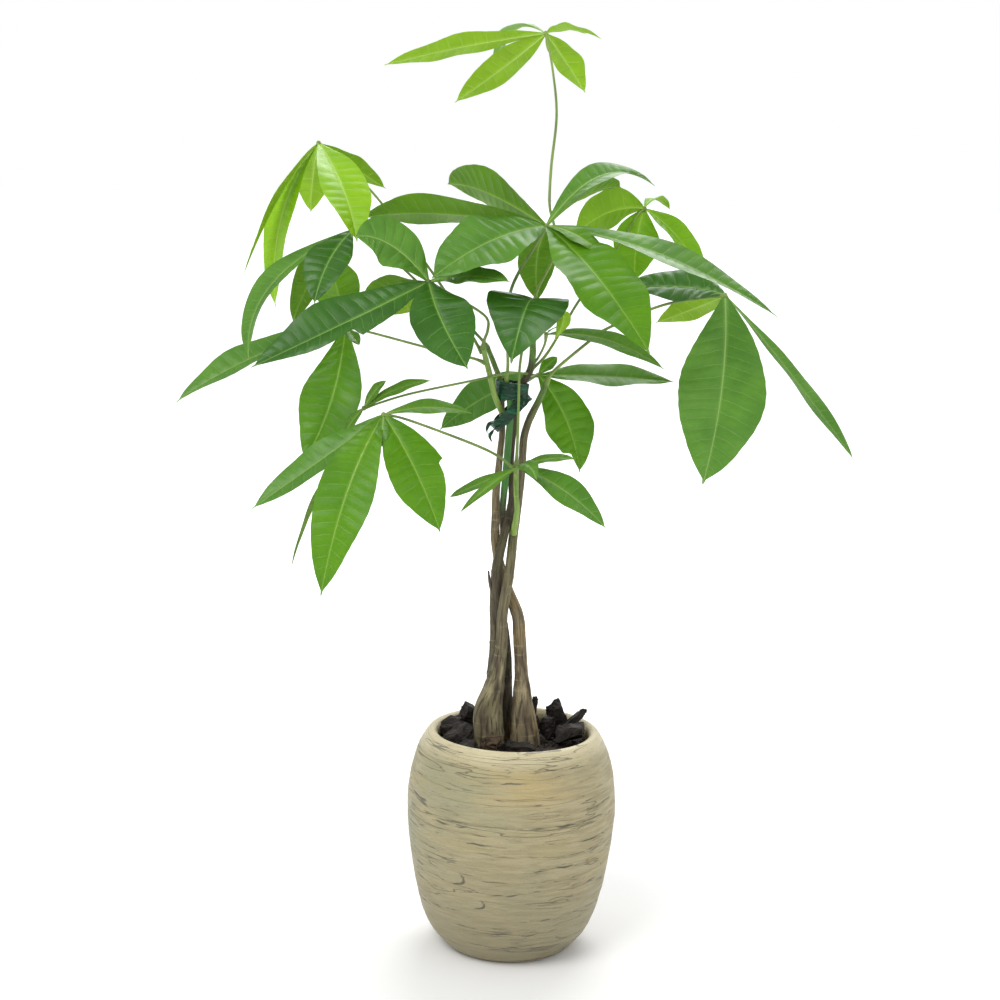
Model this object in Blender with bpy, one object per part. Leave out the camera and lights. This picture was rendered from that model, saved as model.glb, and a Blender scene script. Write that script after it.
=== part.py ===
"""Potted money tree: a braided trunk with hand-shaped leaves in a cast barrel pot.

Run with:  blender --background --python part.py

The pot stands on z = 0 with its axis on +Z and the viewer's side towards -Y.
Lengths in the tables are millimetres; they are turned into metres when a
mesh is made.
"""

import math

import bmesh
import bpy
from mathutils import Euler, Vector

# ---------------------------------------------------------------- dimensions
MM = 0.001
GAP = 0.3  # air left between pieces that rest on, or are cut for, each other

POT_STEPS = 48
# Outside of the pot from the foot up to the lip: (radius, height).
POT_OUTSIDE = [
    (47, 0), (51.5, 2), (56, 7), (64, 17), (70, 31), (75, 50), (79.5, 75),
    (82.5, 100), (83, 118), (81.5, 138), (77.5, 156), (72, 169), (67.5, 175.5),
    (64, 177),
]
# Inside of the pot from the lip down to the floor.
POT_INSIDE = [
    (61.5, 175.5), (60, 172), (60.5, 166), (66, 150), (72, 118), (69, 78),
    (63, 48), (52, 26), (40, 15),
]
POT_FLOOR = 12

SOIL_TOP = 165
SOIL_RADIUS = 58

# A woody stem or a shoot: its centre line from the bottom up, and the radius
# of the wood at each point: (x, y, z, radius).
STEMS = {
    "stem_front_left": [
        (-19, -4, 148, 12.5), (-19.5, -4, 170, 12.4), (-20, -4, 194, 11.2),
        (-16, -5, 213, 8), (-13, -5, 230, 5.6), (-11, -6, 253, 4.7),
        (-11, -6, 270, 4.2), (-8, -8, 294, 4), (-6, -7, 310, 3.8),
        (-4, -2, 335, 3.6), (-1, 5, 361, 3.3), (1, 8, 384, 3),
        (2, 9, 408, 3), (5, 8, 421, 2.9), (9, 6, 431, 2.8),
        (14, 4, 442, 2.6), (18, 3, 453, 2.2),
    ],
    "stem_front_right": [
        (10, -2, 148, 12), (10, -2, 165, 11.8), (7, -2, 196, 8.6),
        (5, -3, 225, 5.4), (3, -3, 252, 5), (1, 0, 269, 4.9),
        (-7, 5, 288, 4.4), (-14, 5, 308, 4), (-18, 0, 329, 3.6),
        (-18.5, -1.5, 350, 3.2), (-18.5, -2, 369, 3), (-17, -2, 386, 2.7),
        (-16, -2, 401, 2.5), (-15, -1, 416, 2.3), (-16, 0, 440, 2.2),
        (-17, 1, 453, 2.1), (-22, 2, 466, 2), (-28, 2, 480, 1.8),
    ],
    "stem_back": [
        (-5, 16, 148, 7), (-5, 15.5, 170, 6.6), (-7, 13, 196, 5.8),
        (-7, 9, 225, 4.8), (-9, 6, 250, 4.4), (-14, 2, 277, 4),
        (-16, -2, 292, 3.8), (-15, -6, 315, 3.6), (-12, -7, 331, 3.4),
        (-8, -5, 350, 3), (-6, -0.5, 363, 2.8), (-6.5, 2.5, 376, 2.8),
        (-8, 4, 390, 2.8), (-6, 6, 422, 2.8), (-3, 3.5, 446, 2.8),
        (-1, 3.5, 452, 2.8), (3, 4.5, 458, 2.8), (6, 6, 465, 2.7),
        (7, 4, 475, 2.5), (7, 3, 486, 2.2),
    ],
    "stem_green": [
        (-25, 17, 148, 6), (-24, 16, 170, 5.6), (-19, 15.5, 198, 5),
        (-17, 13.5, 228, 4.5), (-16.5, 12.5, 250, 4), (-18, 11, 279, 3.6),
        (-17, 13, 308, 3), (-12, 7.5, 329, 2.8), (-13, 3, 350, 2.6),
        (-12.5, 1, 363, 2.6), (-11, -5, 386, 2.7), (-10, -8, 410, 2.7),
        (-9, -8, 429, 2.6), (-10.5, -7.6, 446, 2.3), (-13, -6.4, 456, 1.6),
    ],
    "shoot_side": [
        (-4, -4, 336, 2.9), (-3.5, -9.5, 342, 2.6), (-2.5, -14, 350, 2.2), (-2, -16, 358, 2),
        (-3, -17, 370, 1.9), (-3.5, -17, 386, 2), (-3.5, -17, 391, 2.2),
    ],
    "shoot_left": [
        (-16, -1.5, 431, 2.2), (-19, -6, 438, 2.3), (-22, -9.5, 446, 2.3), (-25.5, -12, 460, 2.2),
        (-30, -12, 476, 2), (-31.5, -12, 483, 2.1),
    ],
}
STEM_SIDES = 10
SHOOT_PARENTS = {"shoot_side": "stem_front_left", "shoot_left": "stem_front_right"}
# A snapped-off twig left on the back of the green stem: (x, y, z, radius).
DEAD_STUB = [(-18.5, 9, 281, 1.6), (-21.5, 8, 293, 1.3), (-23, 7, 303, 0.9)]

# Colour of each stem's foot; the shoots are green.
STEM_COLOURS = {
    "stem_front_left": (0.21, 0.17, 0.11),
    "stem_front_right": (0.22, 0.18, 0.12),
    "stem_back": (0.10, 0.08, 0.06),
    "stem_green": (0.06, 0.17, 0.04),
    "shoot_side": (0.14, 0.26, 0.04),
    "shoot_left": (0.10, 0.20, 0.03),
}

# The green tape round the top of the braid: two bands joined into one piece.
# (centre, half length across, half length front to back, lean in degrees)
TIE_BANDS = [((-8.5, 0.5, 448), 13, 12, 0), ((-8.75, 0.5, 430.8), 19.2, 12.6, 46)]
TIE_HEIGHT = 7
TIE_THICK = 1.0

BLADE_THICK_MID = 1.2
BLADE_THICK_EDGE = 0.5
BLADE_FOLD = 0.12  # how far the edges are lifted, as a share of half the width
HUB_RADIUS = 2.3
# Half width along a leaflet, as a share of the widest: (place, share).
BLADE_OUTLINE = [
    (0.0, 0.06), (0.1, 0.24), (0.23, 0.58), (0.37, 0.87), (0.52, 1.0),
    (0.67, 0.96), (0.81, 0.7), (0.92, 0.34), (1.0, 0.05),
]

# Each compound leaf: the stem that it grows from, where its leaflets meet, the
# stalk from inside that stem to there (x, y, z, radius), and its leaflets. A
# leaflet is its middle and its tip from the meeting point, its width, and the
# way that its top side looks.
LEAVES = {
    "leaf_crown": dict(
        grows_from="shoot_side",
        hub=(10, 0, 717),
        stalk=[(-3.5, -17, 390, 1.5), (-3, -16.5, 415, 1.3), (-3, -16, 440, 1.2),
               (-3, -13, 464, 1.2), (-1, -10, 482, 1.2), (3, -10, 503, 1.2),
               (9, -10, 526, 1.2), (18, -12, 545, 1.2), (22.5, -11, 560, 1.2),
               (20, -7, 576, 1.2), (16.5, -1, 590, 1.2), (17, 5, 618, 1.2),
               (20, 8, 657, 1.1), (16, 4, 690, 1)],
        leaflets=[
            ((-61, -15, -12), (-119, -35, -28), 25, (0, 0.6, 0.8)),
            ((-25, 25, 3), (-39, 45, -27), 15, (-0.3, 0.3, 0.9)),
            ((-31, 10, -25), (-68, 20, -52), 29, (-0.3, 0.7, 0.6)),
            ((19, -20, 2), (40, -35, -5), 20, (0, 0.3, 0.95)),
            ((15, 15, -18), (32, 25, -42), 26, (0.4, 0.65, 0.6)),
        ]),
    "leaf_upper_left": dict(
        grows_from="stem_front_right",
        hub=(-164, 45, 632),
        stalk=[(-27.5, 2, 479, 1.4), (-31, 3, 484, 1.3), (-46, 8, 500, 1.3), (-74, 24, 537, 1.2),
               (-110, 34, 583, 1.1), (-138, 40, 612, 1)],
        leaflets=[
            ((-27, -25, -41), (-53, -40, -101), 22, (-0.9, 0, 0.4)),
            ((-27, -15, -58), (-30, -25, -127), 30, (-0.6, -0.6, 0.5)),
            ((-7, 30, -26), (-10, 45, -55), 26, (0, 0.9, 0.4)),
            ((24, -60, -32), (38, -90, -72), 42, (0.3, -0.75, 0.6)),
            ((25, 15, -17), (51, 30, -34), 20, (0, 0.7, 0.7)),
        ]),
    "leaf_left": dict(
        grows_from="shoot_left",
        hub=(-133, 0, 567),
        stalk=[(-32, -11.5, 477, 1.3), (-36, -8.5, 483, 1.3), (-42, -4, 491, 1.3), (-65, 0, 512, 1.2),
               (-100, 0, 544, 1.1)],
        leaflets=[
            ((-28, 5, -32), (-46, 6, -73), 28, (-0.35, 0.75, 0.45)),
            ((-15, -30, -22), (-24, -50, -53), 34, (-0.2, -0.8, 0.6)),
            ((-58, -32, -41), (-73, -47, -95), 28, (-0.65, -0.55, 0.6)),
        ]),
    "leaf_front_left": dict(
        grows_from="shoot_left",
        hub=(-72, -60, 533),
        stalk=[(-31.3, -12.3, 480, 1.4), (-30.5, -15, 487, 1.3), (-28, -19, 495, 1.3),
               (-29, -27, 505, 1.2),
               (-43, -42, 516, 1.2)],
        leaflets=[
            ((-63, -20, -32), (-126, -35, -63), 34, (-0.3, -0.55, 0.8)),
            ((11, -25, -26), (31, -35, -60), 47, (0.2, -0.9, 0.4)),
            ((-28, 0, 26), (-54, -10, 32), 42, (0.4, -0.8, 0.6)),
            ((-26, 25, -9), (-53, 35, -19), 33, (-0.2, 0.75, 0.6)),
            ((30, -10, 5), (60, -25, 3), 26, (0, -0.45, 0.9)),
            ((-13, 12, -13), (-32, 18, -27), 20, (0.1, 0.8, 0.5)),
        ]),
    "leaf_left_low": dict(
        grows_from="shoot_left",
        hub=(-139, 15, 492),
        stalk=[(-28.5, -12, 469, 1.3), (-38, -8, 472, 1.3), (-52, -2, 474, 1.2),
               (-68, 2, 477, 1.2),
               (-118, 12, 488, 1.1)],
        leaflets=[
            ((-9, 20, 30), (-21, 30, 52), 36, (0, 0.9, -0.3)),
            ((-8, -20, -54), (-28, -35, -102), 46, (-0.2, -0.9, 0.35)),
            ((-69, -15, -24), (-127, -30, -59), 32, (-0.2, -0.45, 0.85)),
            ((7, -15, -6), (13, -23, -12), 10, (0, -0.5, 0.8)),
        ]),
    "leaf_centre": dict(
        grows_from="stem_green",
        hub=(14, -30, 575),
        stalk=[(-12.8, -6.5, 455, 1.3), (-12, -10, 468, 1.4), (-13, -15, 495, 1.4),
               (-12, -20, 522, 1.4), (-5, -25, 541, 1.4), (5, -28, 558, 1.3)],
        leaflets=[
            ((-41, -30, -11), (-83, -55, -38), 54, (-0.1, -0.65, 0.75)),
            ((37, -60, -34), (74, -95, -85), 56, (0.3, -0.75, 0.6)),
            ((85, -30, -18), (170, -45, -60), 34, (0.1, -0.35, 0.95)),
            ((42, 40, 38), (85, 70, 31), 24, (0, -0.45, 0.9)),
            ((31, 45, 23), (59, 75, 29), 37, (0, 0.6, 0.8)),
            ((-46, 50, 23), (-77, 85, 28), 42, (-0.1, 0.85, 0.5)),
            ((-80, 10, 7), (-140, 20, 2), 42, (-0.1, 0.55, 0.85)),
            ((-6, 32, -27), (-4, 36, -59), 28, (0, 0.95, 0.3)),
            ((23, -25, -6), (44, -35, -22), 18, (0.2, -0.6, 0.8)),
        ]),
    "leaf_folded": dict(
        grows_from="stem_back",
        hub=(11, -25, 508),
        stalk=[(7, 2.8, 484.5, 1.5), (8.5, -5, 493, 1.4), (9.5, -16, 502, 1.3)],
        leaflets=[
            ((-9, -37, 12), (-21, -55, -32), 60, (0, -0.35, 0.95)),
            ((18, 10, 0), (11, 10, -21), 12, (0.3, 0.3, 0.9)),
        ]),
    "leaf_back_right": dict(
        grows_from="stem_back",
        hub=(95, 90, 587),
        stalk=[(5.5, 6, 463, 1.3), (12, 11, 468, 1.3), (19, 16, 476, 1.3), (30, 26, 494, 1.2),
               (44, 40, 517, 1.2), (67, 62, 546, 1.1), (88, 84, 580, 1)],
        leaflets=[
            ((-30, -20, -3), (-57, -35, -22), 40, (-0.2, 0.85, 0.5)),
            ((10, 15, 8), (23, 25, -1), 14, (0, 0.2, 1)),
            ((-6, -10, -26), (-7, -20, -58), 36, (0, -0.9, 0.4)),
            ((26, -10, -21), (49, -20, -53), 27, (0.5, -0.6, 0.6)),
        ]),
    "leaf_right": dict(
        grows_from="stem_front_left",
        hub=(153, 0, 525),
        stalk=[(17.5, 3.1, 452, 1.8), (24, 4, 463, 1.5), (50, 6, 486, 1.3),
               (63, 7, 496, 1.3), (107, 5, 516, 1.2)],
        leaflets=[
            ((-2, -25, -69), (-15, -40, -141), 66, (0.1, -0.95, 0.3)),
            ((50, -10, -56), (104, -20, -124), 22, (0.6, -0.5, 0.6)),
            ((-31, 10, 5), (-80, 15, 3), 36, (0, -0.6, 0.8)),
            ((-20, 25, -12), (-49, 45, -26), 26, (-0.1, 0.8, 0.5)),
        ]),
    "leaf_low_left": dict(
        grows_from="shoot_side",
        hub=(-103, -70, 435),
        stalk=[(-3.8, -17, 388, 1.3), (-8, -20, 391.5, 1.3), (-19, -30, 401, 1.2), (-39, -45, 412, 1.2),
               (-85, -66, 431, 1.1)],
        leaflets=[
            ((-46, -10, -34), (-95, -20, -70), 28, (-0.3, -0.6, 0.7)),
            ((-24, -30, -54), (-41, -45, -129), 42, (-0.2, -0.9, 0.35)),
            ((25, -20, -37), (45, -35, -81), 42, (0.3, -0.85, 0.4)),
            ((-42, 10, -53), (-69, 10, -121), 17, (-0.85, 0.2, 0.45)),
            ((0, -10, -11), (0, -14, -22), 9, (0, -0.6, 0.7)),
            ((34, 10, 5), (65, 20, 0), 17, (0, -0.5, 0.85)),
        ]),
    "leaf_small_left": dict(
        grows_from="stem_back",
        hub=(-120, -35, 435),
        stalk=[(4, 5, 460, 1), (0, -2, 461, 1), (-5, -9.5, 462, 1), (-18, -18, 461, 1),
               (-41, -22, 456, 1), (-87, -32, 446, 1)],
        leaflets=[
            ((8, -3, 13), (17, -5, 22), 10, (0, -0.6, 0.8)),
            ((25, -10, 16), (51, -15, 24), 12, (0, -0.6, 0.8)),
            ((-8, -3, -9), (-14, -5, -20), 11, (-0.4, -0.6, 0.7)),
        ]),
    "leaf_mid_right": dict(
        grows_from="stem_back",
        hub=(12, 25, 457),
        stalk=[(2.5, 4.5, 457, 1.4), (6, 12, 456, 1.4), (9.5, 19, 457, 1.3)],
        leaflets=[
            ((53, 5, 0), (108, 5, -3), 31, (0, -0.45, 0.9)),
            ((23, 0, -34), (35, -5, -76), 38, (0.3, -0.85, 0.4)),
            ((-41, 15, -20), (-77, 20, -48), 34, (-0.2, -0.7, 0.6)),
            ((8, 5, 8), (15, 9, 14), 11, (0, -0.6, 0.8)),
        ]),
    "leaf_thin_right": dict(
        grows_from="stem_back",
        hub=(17, 4, 491),
        stalk=[(6.2, 5.5, 467, 1), (11, 6, 472, 1), (16, 5, 483, 1)],
        leaflets=[
            ((46, -12, -2), (91, -20, -23), 20, (0, -0.5, 0.85)),
            ((5, -6, 5), (9, -10, 6), 6, (0, -0.3, 0.9)),
        ]),
    "leaf_low_right": dict(
        grows_from="shoot_side",
        hub=(-2, -30, 392),
        stalk=[(-3.5, -17, 386, 1.2), (-3, -22, 388.5, 1.2), (-2.5, -26, 391, 1.2)],
        leaflets=[
            ((23, 0, 7), (43, -5, 8), 12, (0, -0.4, 0.9)),
            ((35, -5, -16), (68, -15, -43), 27, (0.2, -0.6, 0.75)),
            ((7, -15, 4), (14, -22, -6), 14, (0.1, -0.7, 0.7)),
            ((-30, -5, -13), (-52, -10, -23), 11, (-0.1, -0.5, 0.8)),
            ((-21, -15, -12), (-44, -22, -33), 9, (-0.1, -0.5, 0.8)),
        ]),
}
LEAF_COLOURS = {
    "leaf_crown": (0.24, 0.42, 0.02),
    "leaf_upper_left": (0.20, 0.40, 0.03),
    "leaf_folded": (0.03, 0.17, 0.03),
}
LEAF_COLOUR = (0.07, 0.26, 0.03)

# Bark chips on the soil: place of the middle, length, width and thickness,
# turn in degrees about X, Y and Z, and the height that its lowest corner is at.
ON_SOIL = SOIL_TOP + GAP
CHIPS = {
    "chip_left_large": ((-44, -9), (25, 22, 7), (8, -30, 20), ON_SOIL),
    "chip_left_rim": ((-49, 12), (21, 14, 11), (0, -22, 60), ON_SOIL),
    "chip_left_block": ((-35, 29), (16, 14, 18), (10, 24, 25), ON_SOIL),
    "chip_left_front": ((-36, -34), (18, 14, 7), (14, 0, -30), ON_SOIL),
    "chip_front_flat": ((4, -30), (27, 12, 7), (8, 3, 4), ON_SOIL),
    "chip_root_crust": ((-18, -27), (15, 10, 9), (20, 6, -20), ON_SOIL),
    "chip_right_slab": ((35, 32), (14, 11, 25), (4, -22, 10), ON_SOIL),
    "chip_right_shard": ((46, 18), (33, 10, 5), (0, -43, 6), ON_SOIL),
    "chip_right_large": ((45, -5), (22, 24, 14), (-4, -8, -6), ON_SOIL),
    "chip_right_inner": ((27, 10), (9, 13, 20), (0, -6, 25), ON_SOIL),
    "chip_sliver": ((15, 19), (4, 5, 32), (6, 5, 30), ON_SOIL),
    "chip_back_left": ((-24, 46), (18, 12, 9), (6, 4, 28), ON_SOIL),
    "chip_back_middle": ((-5, 42), (13, 15, 10), (0, 9, -30), ON_SOIL),
    "chip_back_right": ((14, 47), (17, 13, 8), (9, 0, -18), ON_SOIL),
}
CHIP_TRIM = 0.24  # how much of each chip's corners is broken off


# ------------------------------------------------------------------- helpers
def clear_scene():
    """Start from an empty scene."""
    for item in list(bpy.data.objects):
        bpy.data.objects.remove(item, do_unlink=True)


def make_material(name, colour, roughness, metallic=0.0):
    """A Principled material with a colour and roughness."""
    mat = bpy.data.materials.new(name)
    mat.use_nodes = True
    shader = mat.node_tree.nodes["Principled BSDF"]
    shader.inputs["Base Color"].default_value = (*colour, 1.0)
    shader.inputs["Roughness"].default_value = roughness
    shader.inputs["Metallic"].default_value = metallic
    mat.diffuse_color = (*colour, 1.0)
    return mat


def add_object(name, mesh_data, mat=None):
    """Link a mesh to the scene as an object."""
    item = bpy.data.objects.new(name, mesh_data)
    bpy.context.scene.collection.objects.link(item)
    if mat:
        item.data.materials.clear()
        item.data.materials.append(mat)
    return item


def from_bmesh(name, bm, mat=None):
    """Finish a bmesh as an object whose faces look outwards."""
    bmesh.ops.recalc_face_normals(bm, faces=bm.faces)
    mesh_data = bpy.data.meshes.new(name)
    bm.to_mesh(mesh_data)
    bm.free()
    return add_object(name, mesh_data, mat)


def tube(name, points, sides, extra=0.0, mat=None):
    """A closed tube with flat ends along a path, grown all over by extra."""
    path = [(Vector(p[:3]), p[3]) for p in points]
    first = (path[0][0] - path[1][0]).normalized() * extra
    last = (path[-1][0] - path[-2][0]).normalized() * extra
    path[0] = (path[0][0] + first, path[0][1])
    path[-1] = (path[-1][0] + last, path[-1][1])
    bm = bmesh.new()
    side = Vector((1, 0, 0))
    rings = []
    for i, (centre, radius) in enumerate(path):
        ahead = path[min(i + 1, len(path) - 1)][0] - path[max(i - 1, 0)][0]
        ahead.normalize()
        side = (side - ahead * side.dot(ahead)).normalized()
        other = ahead.cross(side)
        ring = []
        for k in range(sides):
            turn = math.tau * k / sides
            out = side * math.cos(turn) + other * math.sin(turn)
            ring.append(bm.verts.new((centre + out * (radius + extra)) * MM))
        rings.append(ring)
    for low, high in zip(rings, rings[1:]):
        for k in range(sides):
            bm.faces.new((low[k], low[(k + 1) % sides], high[(k + 1) % sides], high[k]))
    bm.faces.new(list(reversed(rings[0])))
    bm.faces.new(rings[-1])
    return from_bmesh(name, bm, mat)


def boolean(target, cutter, operation):
    """Join to, or cut from, the target, and remove the cutter."""
    step = target.modifiers.new("join", "BOOLEAN")
    step.operation = operation
    step.solver = "EXACT"
    step.object = cutter
    bpy.context.view_layer.update()
    graph = bpy.context.evaluated_depsgraph_get()
    result = bpy.data.meshes.new_from_object(target.evaluated_get(graph))
    target.modifiers.clear()
    old = target.data
    target.data = result
    bpy.data.meshes.remove(old)
    bpy.data.objects.remove(cutter, do_unlink=True)


# -------------------------------------------------------------------- pieces
def turned(name, outline, mat):
    """A closed solid turned from an outline (radius, height) that starts and ends on the axis."""
    bm = bmesh.new()
    verts = [bm.verts.new((r * MM, 0, z * MM)) for r, z in outline]
    edges = [bm.edges.new(pair) for pair in zip(verts, verts[1:])]
    bmesh.ops.spin(bm, geom=verts + edges, cent=(0, 0, 0), axis=(0, 0, 1),
                   angle=math.tau, steps=POT_STEPS, use_merge=True)
    bmesh.ops.remove_doubles(bm, verts=bm.verts, dist=0.00001)
    return from_bmesh(name, bm, mat)


def build_pot(mat):
    """The barrel pot: foot, belly, rounded lip and the hollow for the soil."""
    outline = [(0, POT_FLOOR)] + POT_INSIDE[::-1] + POT_OUTSIDE[::-1] + [(0, 0)]
    return turned("pot", outline, mat)


def build_soil(mat):
    """The soil: a plug that fills the pot, with sockets for the stems."""
    inside = [(r - GAP, z + GAP) for r, z in POT_INSIDE if z < SOIL_TOP - 2]
    outline = [(0, SOIL_TOP), (SOIL_RADIUS, SOIL_TOP)] + inside + [(0, POT_FLOOR + GAP)]
    soil = turned("soil", outline, mat)
    for name in ("stem_front_left", "stem_front_right", "stem_back", "stem_green"):
        socket = tube("socket", STEMS[name][:3], STEM_SIDES, extra=GAP)
        boolean(soil, socket, "DIFFERENCE")
    return soil


def build_stems():
    """The four stems of the braid and the two side shoots."""
    stems = {}
    for name, points in STEMS.items():
        rough = 0.55 if name.startswith("shoot") or name == "stem_green" else 0.85
        mat = make_material(name, STEM_COLOURS[name], rough)
        stems[name] = tube(name, points, STEM_SIDES, mat=mat)
    boolean(stems["stem_green"], tube("stub", DEAD_STUB, 6), "UNION")
    for shoot, parent in SHOOT_PARENTS.items():
        cutter = tube("cutter", STEMS[parent], STEM_SIDES, extra=GAP)
        boolean(stems[shoot], cutter, "DIFFERENCE")
    return stems


def band(name, centre, across, deep, lean):
    """One flat loop of tape, leaning about the Y axis."""
    steps = 20
    tilt = Euler((0, math.radians(-lean), 0)).to_matrix()
    bm = bmesh.new()
    rings = []
    for k in range(steps):
        turn = math.tau * k / steps
        ring = []
        for grow, height in ((0, -0.5), (TIE_THICK, -0.5), (TIE_THICK, 0.5), (0, 0.5)):
            spot = Vector(((across - TIE_THICK + grow) * math.cos(turn),
                           (deep - TIE_THICK + grow) * math.sin(turn), height * TIE_HEIGHT))
            ring.append(bm.verts.new((tilt @ spot + Vector(centre)) * MM))
        rings.append(ring)
    for low, high in zip(rings, rings[1:] + rings[:1]):
        for k in range(4):
            bm.faces.new((low[k], low[(k + 1) % 4], high[(k + 1) % 4], high[k]))
    return from_bmesh(name, bm)


def build_tie(mat):
    """The tape round the braid, its two turns joined."""
    first, second = [band(f"turn_{i}", *spec) for i, spec in enumerate(TIE_BANDS)]
    boolean(first, second, "UNION")
    first.name = "tie"
    first.data.materials.clear()
    first.data.materials.append(mat)
    return first


def leaflet(name, hub, middle, tip, width, face):
    """A thin closed blade that bows from the hub through its middle to its tip."""
    start, mid, end, top = Vector(hub), Vector(middle), Vector(tip), Vector(face)
    pull = mid * 2 - end * 0.5
    bm = bmesh.new()
    rings = []
    for place, share in BLADE_OUTLINE:
        spine = start + pull * (2 * place * (1 - place)) + end * place ** 2
        ahead = (pull * (1 - place) * 2 + (end - pull) * 2 * place).normalized()
        across = ahead.cross(top).normalized()
        up = across.cross(ahead)
        half = width * 0.5 * share
        lift = up * half * BLADE_FOLD
        thick = BLADE_THICK_MID * (0.7 + 0.3 * share)
        ring = [
            spine + up * thick * 0.5,
            spine + across * half + lift + up * BLADE_THICK_EDGE * 0.5,
            spine + across * half + lift - up * BLADE_THICK_EDGE * 0.5,
            spine - up * thick * 0.5,
            spine - across * half + lift - up * BLADE_THICK_EDGE * 0.5,
            spine - across * half + lift + up * BLADE_THICK_EDGE * 0.5,
        ]
        rings.append([bm.verts.new(p * MM) for p in ring])
    for low, high in zip(rings, rings[1:]):
        for k in range(6):
            bm.faces.new((low[k], low[(k + 1) % 6], high[(k + 1) % 6], high[k]))
    bm.faces.new(list(reversed(rings[0])))
    bm.faces.new(rings[-1])
    return from_bmesh(name, bm)


def build_leaf(name, grows_from, hub, stalk, leaflets):
    """One compound leaf: stalk, meeting point and leaflets joined into one body."""
    colour = LEAF_COLOURS.get(name, LEAF_COLOUR)
    mat = make_material(name, colour, 0.35)
    end_radius = stalk[-1][3]
    leaf = tube(name, stalk + [(*hub, end_radius)], 8)
    parent = tube("cutter", STEMS[grows_from], STEM_SIDES, extra=GAP)
    boolean(leaf, parent, "DIFFERENCE")
    bm = bmesh.new()
    bmesh.ops.create_icosphere(bm, subdivisions=1, radius=HUB_RADIUS * MM)
    bmesh.ops.translate(bm, verts=bm.verts, vec=Vector(hub) * MM)
    boolean(leaf, from_bmesh("meeting_point", bm), "UNION")
    for number, spec in enumerate(leaflets):
        boolean(leaf, leaflet(f"blade_{number}", hub, *spec), "UNION")
    leaf.data.materials.clear()
    leaf.data.materials.append(mat)
    return leaf


def build_chip(name, place, size, turn, low, mat):
    """A chip of bark: a block with its corners broken off, set down at a height."""
    bm = bmesh.new()
    bmesh.ops.create_cube(bm, size=1)
    for vert in bm.verts:
        vert.co.x *= size[0] * (1 - 0.12 * (vert.co.y > 0))
        vert.co.y *= size[1] * (1 - 0.18 * (vert.co.z > 0))
        vert.co.z *= size[2]
    offset = CHIP_TRIM * min(size)
    bmesh.ops.bevel(bm, geom=list(bm.edges), offset=offset, segments=1,
                    profile=0.5, affect="EDGES")
    spin = Euler([math.radians(a) for a in turn]).to_matrix()
    for vert in bm.verts:
        vert.co = spin @ vert.co
    drop = low - min(v.co.z for v in bm.verts)
    for vert in bm.verts:
        vert.co = (vert.co + Vector((place[0], place[1], drop))) * MM
    return from_bmesh(name, bm, mat)


def main():
    """Build every piece."""
    clear_scene()
    build_pot(make_material("pot", (0.45, 0.40, 0.26), 0.6))
    build_soil(make_material("soil", (0.02, 0.017, 0.013), 0.95))
    build_stems()
    build_tie(make_material("tie", (0.005, 0.03, 0.015), 0.3))
    for name, spec in LEAVES.items():
        build_leaf(name, **spec)
    for name, spec in CHIPS.items():
        build_chip(name, *spec, make_material(name, (0.025, 0.02, 0.017), 0.9))


main()
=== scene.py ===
"""Looks of a potted money tree: braided trunk, hand-shaped leaves, barrel pot.

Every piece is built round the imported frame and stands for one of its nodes.
Lengths in the plans below are millimetres and become metres when a mesh is
made. +Z is up, the pot stands on z = 0, and the viewer is on the -Y side.
"""

import logging
import math
import random
from collections.abc import Callable, Sequence
from dataclasses import dataclass, field
from enum import Enum

import bmesh
import bpy
import numpy as np
from mathutils import Matrix, Vector, noise


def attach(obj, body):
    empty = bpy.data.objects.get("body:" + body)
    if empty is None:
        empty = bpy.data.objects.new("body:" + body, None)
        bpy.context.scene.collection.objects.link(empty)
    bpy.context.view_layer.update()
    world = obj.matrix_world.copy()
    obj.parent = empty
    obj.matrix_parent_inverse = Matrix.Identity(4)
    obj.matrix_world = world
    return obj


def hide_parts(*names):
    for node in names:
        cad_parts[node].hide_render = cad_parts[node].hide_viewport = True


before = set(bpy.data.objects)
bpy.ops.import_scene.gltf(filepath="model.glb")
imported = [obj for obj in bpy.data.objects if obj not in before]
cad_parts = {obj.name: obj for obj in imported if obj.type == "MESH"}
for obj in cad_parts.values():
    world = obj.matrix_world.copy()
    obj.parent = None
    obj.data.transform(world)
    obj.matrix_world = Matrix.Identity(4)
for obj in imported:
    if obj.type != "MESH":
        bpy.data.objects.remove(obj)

LOG = logging.getLogger("money_tree")
MM = 0.001
BODY = "root"

Colour = tuple[float, float, float]
Point = tuple[float, float, float]
RadiusPoint = tuple[float, float, float, float]


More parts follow.
